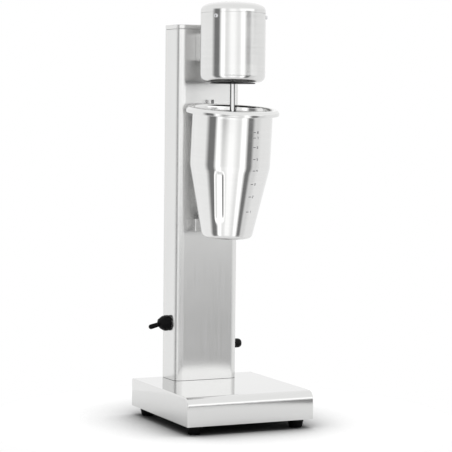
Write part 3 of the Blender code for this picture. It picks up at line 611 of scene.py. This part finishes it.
def make_head():
    bottom, top, radius = head_low.z, head_high.z, HEAD_RADIUS
    wall = rounded_path([(radius, top), (radius, bottom, HEAD_FILLET), (HEAD_OPENING, bottom)],
                        steps=16, share=0.7)
    inside = rounded_path([(HEAD_OPENING, bottom + SHEET),
                           (radius - SHEET, bottom + SHEET, HEAD_FILLET - SHEET),
                           (radius - SHEET, top)], steps=12, share=0.7)
    piece("head_shell", lathe(wall + inside, 160), HEAD_STEEL, replaced=["head_housing"],
          place=HEAD_AXIS)

    low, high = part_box("head_cap")
    seat, skirt, edge = top + GAP, radius - SHEET - GAP, 0.0002
    rise = high.z - seat
    outer = [(radius - edge, seat), (radius, seat + edge)] + dome(radius, seat, rise, 30)[2:]
    inner = list(reversed(dome(skirt - SHEET, seat, rise - SHEET, 16)))
    profile = [(skirt - SHEET, low.z), (skirt, low.z), (skirt, seat)] + outer + inner
    piece("head_lid", lathe(profile, 160), HEAD_STEEL, replaced=["head_cap"],
          place=HEAD_AXIS, sharp=50)
    for index in range(3):
        make_head_screw(index)

    low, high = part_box("head_bottom_plate")
    rim, boss, bore = (high.x - low.x) / 2, HEAD_OPENING - GAP, 0.0084
    seat, groove, dish = bottom - GAP, low.z + 0.0006, low.z + 0.0012
    plate = [(bore, high.z), (boss, high.z), (boss, seat), (rim, seat), (rim, low.z, 0.0005),
             (rim - 0.006, low.z), (rim - 0.0065, groove), (rim - 0.0075, groove), (rim - 0.008, low.z),
             (bore + 0.003, low.z, 0.0006), (bore + 0.0022, dish, 0.0005), (bore, dish)]
    piece("head_underside", lathe(rounded_path(plate, True, 4), 96), PLASTIC, replaced=["head_bottom_plate"],
          place=HEAD_AXIS)


def make_head_screw(index):
    """Cross-head screw with a thin washer, on the cylinder just under the lid."""
    node = f"head_screw_{index + 1}"
    angle = SCREW_ANGLE + index * THIRD
    outward = Vector((math.cos(angle), math.sin(angle), 0))
    seat = Vector((0, HEAD_Y, SCREW_HEIGHT)) + outward * (HEAD_RADIUS + GAP)
    place = Matrix.Translation(seat) @ Matrix.Rotation(angle, 4, "Z") @ TO_RIGHT
    height, radius, shank, length, washer = 0.0016, 0.0026, 0.0013, 0.006, 0.0005
    profile = [(0, height), (radius * 0.6, height * 0.95), (radius * 0.88, height * 0.7),
               (radius * 0.9, washer), (radius, washer), (radius, 0), (shank, 0), (shank, -0.9 * length),
               (shank * 0.5, -length), (0, -length)]
    screw = piece(node + "_cross", lathe(profile, 36, False), SCREW_STEEL, None, [node],
                  place, 50)
    cut_cross(screw, place, height, radius * 0.62, height * 0.8, 0.4)
    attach(screw, "root")


def make_neck():
    """Rectangular tube whose front end follows the round housing."""
    width, height = neck_high.x - neck_low.x, neck_high.z - neck_low.z
    middle, rear = (neck_high.z + neck_low.z) / 2, neck_high.y
    reach, wall = HEAD_RADIUS + GAP, 0.0025

    def ring(inset, front):
        corner = 0.003 - min(inset, 0.002)
        outline = rounded_rectangle(width - 2 * inset, height - 2 * inset, corner, 6)
        return [(x, HEAD_Y + math.sqrt(reach ** 2 - x ** 2) if front else rear, middle + z)
                for x, z in outline]

    builder = loft([ring(0, False), ring(0, True), ring(wall, True), ring(wall, False)], looped=True)
    piece("neck_tube", builder, COLUMN_STEEL, replaced=["neck_block"])


# ---------------------------------------- spindle

def make_spindle():
    low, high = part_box("spindle")
    radius = (high.x - low.x) / 2
    rod = [(0, high.z), (radius, high.z, 0.0004), (radius, low.z, 0.0003), (0, low.z)]
    piece("spindle_rod", lathe(rounded_path(rod, steps=3), 48, False), SPINDLE_STEEL, "agitator",
          ["spindle"], HEAD_AXIS)

    low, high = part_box("agitator_disc")
    make_disc((high.x - low.x) / 2, low.z, high.z, radius + GAP)
    low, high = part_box("agitator_nut")
    size, bore = (high.x - low.x) / 2, radius + GAP
    roof = low.z + 0.0015
    nut = [(bore, high.z), (size, high.z, 0.0004), (size, low.z + 0.0016, 0.0008),
           (0.0036, low.z + 0.0004, 0.0004), (0, low.z), (0, roof), (bore, roof)]
    piece("agitator_acorn_nut", lathe(rounded_path(nut, False, 4), 48), BRIGHT_STEEL, "agitator",
          ["agitator_nut"], HEAD_AXIS)

    low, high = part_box("spindle_coupling")
    size, shaft = (high.x - low.x) / 2, 0.0043
    step = high.z - 0.004
    sleeve = [(shaft, high.z), (size, high.z, 0.0003), (size, low.z, 0.0010), (bore, low.z), (bore, step),
              (shaft, step)]
    piece("coupling_sleeve", lathe(rounded_path(sleeve, True, 4), 48), BRIGHT_STEEL, "agitator",
          ["spindle_coupling"], HEAD_AXIS)


def make_disc(radius, bottom, top, bore):
    """Mixing disc with a crimped, wavy rim round a short hub."""
    lobes, hub, count = 6, 0.0062, 120
    swing, middle = (top - bottom) / 2 - 0.0007, (top + bottom) / 2
    # Distance from the axis, half of the thickness there, and how much of the wave shows there.
    stations = [(bore, 0.0015, 0), (hub - 0.0003, 0.0015, 0), (hub, 0.0012, 0), (hub + 0.0004, 0.0007, 0),
                (0.0085, 0.0006, 0.25), (0.0105, 0.0006, 0.6), (0.0125, 0.0006, 0.95),
                (radius - 0.0002, 0.0005, 1), (radius, 0.0003, 1)]
    rings = []
    for r, half, weight in stations + [(r, -half, weight) for r, half, weight in reversed(stations)]:
        ring = []
        for i in range(count):
            angle = 2 * math.pi * i / count
            lift = swing * weight * math.sin(lobes * angle)
            ring.append((r * math.cos(angle), r * math.sin(angle), middle + lift + half))
        rings.append(ring)
    piece("agitator_wavy_disc", loft(rings, looped=True), BRIGHT_STEEL, "agitator", ["agitator_disc"],
          HEAD_AXIS)


# ---------------------------------------- cup

CUP_TILT = math.radians(5.5)
CUP_FOOT = (0, -0.0113, 0.2352)  # the middle of its underside
CUP_PLACE = Matrix.Translation(CUP_FOOT) @ Matrix.Rotation(CUP_TILT, 4, "X")
CUP_HEIGHT = 0.1608
CUP_RADIUS = 0.050
CUP_FOOT_RADIUS = 0.0319
CUP_RIM_RADIUS = 0.058
CUP_CREASE = 0.0885
CUP_BLEND = 0.004
CUP_WALL = 0.001
FLUTE_ANGLE = math.radians(-130.0)  # middle of the first pressed flute
FLUTE_BOTTOM, FLUTE_TOP = 0.018, 0.0870
FLUTE_FLAT, FLUTE_EDGE = 0.0020, 0.0070  # half widths of the flute's floor and of its mouth
FLUTE_DEPTH = 0.0008
SCALE_ANGLE = math.radians(-77.5)  # where the top of the scale stands on the wall
SCALE_LEAN = math.radians(6.5)  # how far round its foot stands from its top
SCALE_HEIGHTS = (0.036, 0.0552, 0.0712, 0.0882, 0.1025, 0.1172, 0.1288, 0.1355)
SCALE_STROKE = (-0.0031, 0, 0.0036, 0.0008)  # middle across and up, width and height of a mark
DIGIT_WIDTH, DIGIT_HEIGHT, DIGIT_SHIFT = 0.0015, 0.0026, 0.0016
DIGITS = {1: "bc", 2: "abged", 3: "abgcd", 4: "fgbc", 5: "afgcd", 6: "afgedc", 7: "abc", 8: "abcdefg"}


def ease(value, start, end):
    """0 before start, 1 after end, smooth between."""
    share = min(max((value - start) / (end - start), 0), 1)
    return share * share * (3 - 2 * share)


def wall_radius(height):
    """Outer radius of the cup's side."""
    slope = (CUP_RADIUS - CUP_FOOT_RADIUS) / CUP_CREASE
    low, high = CUP_CREASE - CUP_BLEND, CUP_CREASE + CUP_BLEND
    if height <= low:
        return CUP_FOOT_RADIUS + slope * height
    if height >= high:
        return CUP_RADIUS
    t = (height - low) / (high - low)
    return CUP_RADIUS - slope * CUP_BLEND * (1 - t) ** 2


def flute(radius, angle, height):
    """How far the wall is pressed in at this place, as a negative change of radius."""
    if not FLUTE_BOTTOM - 0.002 < height < FLUTE_TOP + 0.002 or radius < CUP_FOOT_RADIUS * 0.9:
        return 0
    away = abs((angle - FLUTE_ANGLE + THIRD / 2) % THIRD - THIRD / 2) * radius
    share = 1 - ease(away, FLUTE_FLAT, FLUTE_EDGE)
    rising = ease(height, FLUTE_BOTTOM, FLUTE_BOTTOM + 0.013)
    falling = 1 - ease(height, FLUTE_TOP - 0.005, FLUTE_TOP)
    return -FLUTE_DEPTH * share * rising * falling


def cup_angles():
    """Directions of the mesh's columns, closer together across the flutes."""
    wide, close_steps, wide_steps = math.radians(12), 22, 34
    rest = THIRD - 2 * wide
    angles = []
    for index in range(3):
        middle = FLUTE_ANGLE + index * THIRD
        angles += [middle - wide + 2 * wide * step / close_steps for step in range(close_steps)]
        angles += [middle + wide + rest * step / wide_steps for step in range(wide_steps)]
    return angles


def make_cup():
    """The cup as one closed profile: dish, foot, outside, rolled rim, inside and floor."""
    rim, top, wall, bottom = CUP_RIM_RADIUS, CUP_HEIGHT, CUP_WALL, CUP_FOOT_RADIUS
    heights = [0.0045 + 0.0021 * step for step in range(41)]
    heights += [CUP_CREASE + 0.0012 * step for step in range(-1, 5)] + [0.110, 0.130, 0.150]
    outside = [(wall_radius(h), h) for h in sorted(set(heights))]
    inside = [(wall_radius(h) - wall, h) for h in sorted(set(heights), reverse=True)]
    bead = [(CUP_RADIUS, top - 0.0045), (CUP_RADIUS + 0.0004, top - 0.0020, 0.0008),
            (CUP_RADIUS + 0.0024, top - wall, 0.001), (rim - 0.0032, top - wall, 0.0014),
            (rim - wall, top - 0.0036, 0.0012), (rim - wall, top - 0.0064, 0.0003),
            (rim - 0.0006, top - 0.0074, 0.0004), (rim, top - 0.0066, 0.0004),
            (rim, top - 0.0034, 0.0016), (rim - 0.0028, top, 0.0018),
            (CUP_RADIUS + 0.0012, top, 0.0022), (CUP_RADIUS - wall, top - 0.0035, 0.0012)]
    foot = [(bottom - 0.0030, 0), (bottom - 0.0016, 0.0003), (bottom - 0.0005, 0.0011),
            (bottom + 0.0002, 0.0024)]
    floor = [(bottom - 0.0008, 0.0030), (bottom - 0.0016, 0.0018), (bottom - 0.0036, wall + 0.0001),
             (0.018, wall), (0, wall)]
    dish = [(0, 0.0002), (0.022, 0.0002), (0.0235, 0)]
    profile = dish + foot + outside + rounded_path(bead, steps=5) + inside + floor
    cup = lathe(profile, closed=False, angles=cup_angles(), push=flute)
    piece("mixing_cup", cup, CUP_STEEL, "cup", ["cup"], CUP_PLACE)
    make_scale()


def digit_strokes(number, width, height):
    """A digit as (x, y, width, height) bars around its own middle, out of seven lettered ones."""
    pen = height * 0.2
    x, y, half = width / 2, height / 2, height / 2
    bars = {"a": (0, y, width, pen), "g": (0, 0, width, pen), "d": (0, -y, width, pen),
            "f": (-x, y / 2, pen, half), "b": (x, y / 2, pen, half),
            "e": (-x, -y / 2, pen, half), "c": (x, -y / 2, pen, half)}
    return [bars[letter] for letter in DIGITS[number]]


def wall_bar(x, y, width, tall, height):
    """A thin bar that follows the wall, x and y away from the middle of the mark at this height."""
    skin, steps = 0.00008, 4
    lean = SCALE_LEAN * (1 - height / SCALE_HEIGHTS[-1])
    rings = []
    for step in range(steps + 1):
        across = x - width / 2 + width * step / steps
        ring = []
        for lift, rise in ((-skin, -1), (-skin, 1), (skin, 1), (skin, -1)):
            level = height + y + rise * tall / 2
            radius = wall_radius(level) + lift
            angle = SCALE_ANGLE + lean + across / radius
            ring.append((radius * math.cos(angle), radius * math.sin(angle), level))
        rings.append(ring)
    return loft(rings)


def make_scale():
    """Volume marks: a short line and a number at each step, lying on the wall."""
    builder = bmesh.new()
    for number, height in enumerate(SCALE_HEIGHTS, 1):
        digit = digit_strokes(number, DIGIT_WIDTH, DIGIT_HEIGHT)
        for x, y, width, tall in [SCALE_STROKE] + [(x + DIGIT_SHIFT, *rest) for x, *rest in digit]:
            mesh = finished_mesh("bar", wall_bar(x, y, width, tall, height))
            builder.from_mesh(mesh)
            bpy.data.meshes.remove(mesh)
    piece("cup_volume_scale", builder, ETCHED, "cup", (), CUP_PLACE)


# ---------------------------------------- hook and rest

hook_low, hook_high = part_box("cup_hook")
rest_low, rest_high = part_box("cup_rest")


def make_hook():
    """Bent tongue that carries the rim, with an upturned lip and a rounded finger."""
    sheet, seat, lip_top = 0.002, 0.3895, 0.3982
    plate_half, tongue_half = 0.0105, 0.007
    back, front, floor = hook_high.y - sheet / 2, hook_low.y + sheet / 2, seat + sheet / 2
    path = rounded_path([(back, hook_low.z), (back, floor, 0.0030), (front, floor, 0.0026),
                         (front, lip_top)], steps=6)
    rings = []
    for (y1, z1), (y2, z2), (y, z) in zip(offset_path(path, sheet / 2), offset_path(path, -sheet / 2), path):
        half = plate_half + (tongue_half - plate_half) * ease(back - y, 0.0006, 0.0016)
        rings.append([(-half, y1, z1), (half, y1, z1), (half, y2, z2), (-half, y2, z2)])
    # The bracket's dark steel is painted shade.
    hook = piece("hook_bracket", loft(rings), HOOK_STEEL_PAINTED_SHADE, None, ["cup_hook"])
    finger_half, finger_front, finger_rear = 0.0018, 0.0332, 0.0358
    finger = rounded_block((-finger_half, finger_front, seat + 0.0008),
                           (finger_half, finger_rear, hook_high.z), 0.0008, 3)
    carve(hook, finger, operation="UNION")
    soften = hook.modifiers.new("edges", "BEVEL")
    soften.width = 0.0003
    soften.segments = 2
    soften.limit_method = "ANGLE"
    hook.modifiers.move(1, 0)
    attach(hook, "root")
    for index in (1, 2):
        make_screw(f"hook_screw_{index}", TO_FRONT, -1, 0.0020)


def make_rest():
    """Hat-shaped bracket with its rubber pad."""
    sheet, bend = 0.0015, 0.0018
    wing, brim, crown = 0.031, 0.018, 0.015  # half widths at the ends, the bends and the front
    back, front = rest_high.y - sheet, rest_low.y
    path = rounded_path([(-wing, back), (-brim, back, bend), (-crown, front, bend), (crown, front, bend),
                         (brim, back, bend), (wing, back)], steps=6)
    wall = folded_wall(path, rest_low.z, rest_high.z, sheet)
    piece("rest_bracket", wall, PLATE_STEEL, replaced=["cup_rest"])
    low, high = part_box("cup_rest_pad")
    piece("rest_pad_rubber", rounded_block(low, high, 0.0009, 3), RUBBER, replaced=["cup_rest_pad"])


# ---------------------------------------- controls

SWITCH_Y = 0.067
SWITCH_Z = 0.119
LEVER_PIVOT = 0.008
LEVER_TILT = math.radians(14)
BOOT_STILL, BOOT_LEANING = 0.0070, 0.0128  # how far out the boot starts to lean, and leans in full
FUSE_Z = 0.0887


def make_switch():
    """Toggle lever in its rubber boot, whose neck is shaped leaning with the lever at rest."""
    pivot = Vector((-SIDE - LEVER_PIVOT, SWITCH_Y, SWITCH_Z))
    tilt = Matrix.Rotation(-LEVER_TILT, 4, "Y")
    reach, tip, foot = 0.0200, 0.0032, 0.0042
    lever = [(0, reach), (tip, reach, tip * 0.95), (tip * 0.94, 0.0088), (tip * 0.82, 0.0064),
             (tip * 0.8, foot), (0, foot)]
    piece("switch_lever_sleeve", lathe(rounded_path(lever, steps=8, share=0.97), 40, False), RUBBER,
          "switch_lever", ["switch_lever"], Matrix.Translation(pivot) @ tilt @ TO_LEFT)

    def ribs(radius, angle, height):
        return 0.00035 * math.cos(12 * angle) if 0.0012 < height < 0.0062 and radius > 0.0092 else 0

    shell, inner, shoulder = 0.0097, 0.0087, 0.0093
    boot = [(inner, GAP), (shell, GAP, 0.0003), (shell, 0.0013), (shell, 0.0024), (shell, 0.0040),
            (shell, 0.0060), (shoulder, 0.0068, 0.0004), (shoulder, 0.0080, 0.0012),
            (0.0064, 0.0128, 0.0014), (0.0048, 0.0136, 0.0006), (0.0038, 0.0145), (0.0030, 0.0143),
            (0.0036, 0.0127), (0.0056, 0.0118), (0.0080, 0.0075), (inner, 0.0060)]
    builder = lathe(rounded_path(boot, True, 4), 72, push=ribs)
    builder.transform(Matrix.Translation((-SIDE, SWITCH_Y, SWITCH_Z)) @ TO_LEFT)
    # The neck of the boot leans with the lever, which is tilted at rest.
    swing = Matrix.Translation(pivot) @ tilt @ Matrix.Translation(-pivot)
    for vert in builder.verts:
        share = ease(-SIDE - vert.co.x, BOOT_STILL, BOOT_LEANING)
        vert.co = vert.co.lerp(swing @ vert.co, share)
    boot = piece("switch_boot_rubber", builder, RUBBER, None, ["switch_boot"])
    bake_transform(boot)


def make_fuse():
    """Panel fuse holder and its fluted bayonet cap."""
    place = Matrix.Translation((SIDE, SWITCH_Y, FUSE_Z)) @ TO_RIGHT
    flange, thick, barrel, rear = 0.0080, 0.0020, 0.0059, -0.027
    holder = [(0, thick), (flange, thick, 0.0006), (flange, GAP), (barrel, GAP),
              (barrel, rear + 0.001, 0.0006), (0.0045, rear), (0, rear)]
    piece("fuse_holder_body", lathe(rounded_path(holder, steps=4), 56, False), PLASTIC,
          replaced=["fuse_holder"], place=place)

    def flutes(radius, angle, height):
        pressed = 0.0035 < height < 0.0105 and radius > 0.0055
        return -0.00025 * max(math.cos(14 * angle), 0) if pressed else 0

    wide, foot = 0.0060, 0.0023
    cap = [(0, 0.0150), (0.0024, 0.0149), (0.0040, 0.0143), (0.0052, 0.0131), (0.0058, 0.0115),
           (wide, 0.0102), (wide, 0.0084), (wide, 0.0065), (wide, 0.0045), (wide, 0.0032), (wide, foot),
           (0, foot)]
    knob = piece("fuse_cap_knob", lathe(cap, 84, False, push=flutes), PLASTIC, None, ["fuse_cap"],
                 place)
    slot_half, slot_reach, slot_floor = 0.0006, 0.008, 0.0137
    slot = rounded_block((-slot_half, -slot_reach, slot_floor), (slot_half, slot_reach, 0.020), 0.0001, 1)
    carve(knob, slot, place)
    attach(knob, "fuse_cap")


# ---------------------------------------- the other CAD nodes

KEPT = {
    ZINC: ["base_bottom_plate", "column_anchor", "motor_lower_bracket", "motor_upper_bracket"],
    SCREW_STEEL: ["anchor_bolt_left", "anchor_bolt_right", "neck_bolt_lower", "neck_bolt_upper",
                  "switch_nut", "motor_shaft", "lower_bearing", "upper_bearing",
                  *("foot_screw_" + corner for corner in CORNERS)],
    PLASTIC: ["switch_body", "brush_ring", "cooling_fan"],
    LAMINATION: ["stator", "rotor_core"],
    COPPER: ["winding_lower", "winding_upper", "commutator"],
    CARBON: ["carbon_brush_left", "carbon_brush_right"],
}


def paint_kept_nodes():
    for material, names in KEPT.items():
        for name in names:
            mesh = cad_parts[name].data
            for index in range(len(mesh.materials)):
                mesh.materials[index] = material


# ---------------------------------------- studio

CAMERA_PLACE = Vector((-0.94571, -2.04286, 0.39004))
CAMERA_HEADING = math.radians(24.9474)  # from +Y towards +X
CAMERA_PITCH = math.radians(3.6336)  # downwards
CAMERA_ROLL = math.radians(0.6274)
CAMERA_LENS = 142.97
# The direction from the object to the camera, anticlockwise from +X.
CAMERA_AZIMUTH = math.atan2(-math.cos(CAMERA_HEADING), -math.sin(CAMERA_HEADING))


def make_camera():
    data = bpy.data.cameras.new("camera")
    data.sensor_width = 36
    data.lens = CAMERA_LENS
    camera = new_object("camera", data)
    turn = Matrix.Rotation(-CAMERA_HEADING, 4, "Z")
    tip = Matrix.Rotation(math.radians(90) - CAMERA_PITCH, 4, "X")
    roll = Matrix.Rotation(CAMERA_ROLL, 4, "Z")
    camera.matrix_world = Matrix.Translation(CAMERA_PLACE) @ turn @ tip @ roll
    bpy.context.scene.camera = camera


# What stands round the object: where each thing starts and ends, in degrees anticlockwise from the
# camera's side, and how bright it is. The light blends over between neighbours.
SURROUNDINGS = [
    ("rear wall, left half", -180, -150, 1.10),
    ("left wall", -125, -80, 1.26),
    ("left gap", -66, -50, 0.26),
    ("left light strip", -40, -31, 1.85),
    ("left frame of the screen", -25, -19, 1.24),
    ("front screen", -6, 5, 1.66),
    ("right frame of the screen", 20, 25, 1.24),
    ("right light strip", 31, 40, 1.85),
    ("right gap", 50, 60, 0.25),
    ("right wall", 69, 80, 1.00),
    ("far right wall", 95, 120, 1.18),
    ("rear wall, right half", 155, 180, 1.10),
]
BRIGHTEST = 2.0
CEILING = 1.25
GROUND = 1.0
LOW_SHADE = 0.42  # the dim stretch of studio floor that the foot of the column mirrors
EYE_LEVEL = 1.7  # a brighter stretch at eye level, mirrored between head and cup
HIGH_PATCH = 1.9  # a bright patch over the right side, mirrored by the top of the base
# Patches of another brightness: where each starts, is full, stops being full and ends, in degrees up
# and in degrees anticlockwise from the camera's side.
PATCHES = [
    ((-9.8, -8.6, -4.5, -3), (-40, -20, 62, 72), LOW_SHADE),
    ((-3.5, -2, 0.5, 1.0), (12, 28, 85, 100), EYE_LEVEL),
    ((4.2, 5.0, 35, 50), (15, 30, 75, 85), HIGH_PATCH),
]
FLOOR_RADIUS = 0.30
LIGHT_PLACE, LIGHT_TARGET = Vector((-0.1, -0.2, 1.7)), Vector((0, 0, 0.1))
LIGHT_SIZE, LIGHT_POWER = 1.2, 4


def make_world():
    """Walls, light strips and gaps seen only in reflections; the backdrop itself is white."""
    world = bpy.data.worlds.new("studio")
    bpy.context.scene.world = world
    world.use_nodes = True
    nodes = Nodes(world.node_tree)
    world.node_tree.nodes.clear()
    direction = nodes.add("ShaderNodeTexCoord").outputs["Generated"]
    x, y, z = nodes.add("ShaderNodeSeparateXYZ", {0: direction}).outputs
    raised = nodes.math("ARCSINE", z)
    turn = nodes.math("SUBTRACT", nodes.math("ARCTAN2", y, x), CAMERA_AZIMUTH)
    turn = nodes.math("WRAP", turn, math.pi, -math.pi)
    share = nodes.math("ADD", nodes.math("DIVIDE", turn, 2 * math.pi), 0.5)
    ramp = nodes.add("ShaderNodeValToRGB", {0: share})
    stops = ramp.color_ramp.elements
    stops.remove(stops[-1])
    for name, start, end, level in SURROUNDINGS:
        for degrees in (start, end):
            stop = stops[0] if degrees == -180 else stops.new(degrees / 360 + 0.5)
            stop.position = degrees / 360 + 0.5
            stop.color = (level / BRIGHTEST,) * 3 + (1,)
    level = nodes.math("MULTIPLY", ramp.outputs[0], BRIGHTEST)

    def between(value, *degrees):
        """1 between the two inner limits, 0 outside the two outer ones."""
        limits = [math.radians(limit) for limit in degrees]
        return nodes.math("MULTIPLY", nodes.spread(value, 0, 1, *limits[:2]),
                          nodes.spread(value, 1, 0, *limits[2:]))

    layers = [(nodes.math("MULTIPLY", between(raised, *heights), between(turn, *sides)), brightness)
              for heights, sides, brightness in PATCHES]
    layers += [(nodes.spread(raised, 0, 1, math.radians(9), math.radians(28)), CEILING),
               (nodes.spread(raised, 1, 0, math.radians(-50), math.radians(-34)), GROUND),
               (nodes.add("ShaderNodeLightPath").outputs["Is Camera Ray"], 1.0)]
    for factor, brightness in layers:
        level = nodes.add("ShaderNodeMix", {"Factor": factor, "A": level, "B": brightness})
    background = nodes.add("ShaderNodeBackground", {"Color": (1, 1, 1, 1), "Strength": level})
    nodes.add("ShaderNodeOutputWorld", {0: background})


def make_floor():
    """A round white floor with a faint paper grain and a painted contact shadow, darker close to whatever
    stands on it.
    """
    material, nodes, shader = start_material("white_floor", 0.0)
    source = nodes.local()
    fibre = nodes.noise(source, 400.0, 4.0, 0.6)
    paper = nodes.shade(fibre, (0.83, 0.83, 0.83), (0.86, 0.86, 0.86))
    # Painted shadow: the floor's colour goes almost black where ambient occlusion finds something close over
    # it.
    painted_shadow_occlusion = nodes.add("ShaderNodeAmbientOcclusion", {"Color": (1, 1, 1, 1), "Distance": 0.16}, samples=8)
    painted_shadow_openness = nodes.math("POWER", painted_shadow_occlusion.outputs["AO"], 1.5)
    nodes.feed(nodes.shade(painted_shadow_openness, (0.01, 0.01, 0.01), paper), shader.inputs["Base Color"])
    nodes.feed(nodes.spread(fibre, 0.85, 0.95), shader.inputs["Roughness"])
    shader.inputs["Specular IOR Level"].default_value = 0.1
    builder = bmesh.new()
    bmesh.ops.create_circle(builder, cap_ends=True, segments=128, radius=FLOOR_RADIUS)
    mesh = finished_mesh("floor", builder)
    mesh.materials.append(material)
    floor = new_object("floor", mesh)


def make_light():
    """A wide lamp overhead, which shows on dull surfaces but not as a reflection."""
    data = bpy.data.lights.new("overhead", "AREA")
    data.shape = "DISK"
    data.size = LIGHT_SIZE
    data.energy = LIGHT_POWER
    light = new_object("overhead", data)
    light.location = LIGHT_PLACE
    light.rotation_euler = (LIGHT_TARGET - LIGHT_PLACE).to_track_quat("-Z", "Y").to_euler()
    light.visible_glossy = False


make_base()
make_feet()
make_column()
make_back()
make_head()
make_neck()
make_spindle()
make_cup()
make_hook()
make_rest()
make_switch()
make_fuse()
paint_kept_nodes()
make_camera()
make_world()
make_floor()
make_light()
bpy.context.scene.view_settings.view_transform = "Standard"
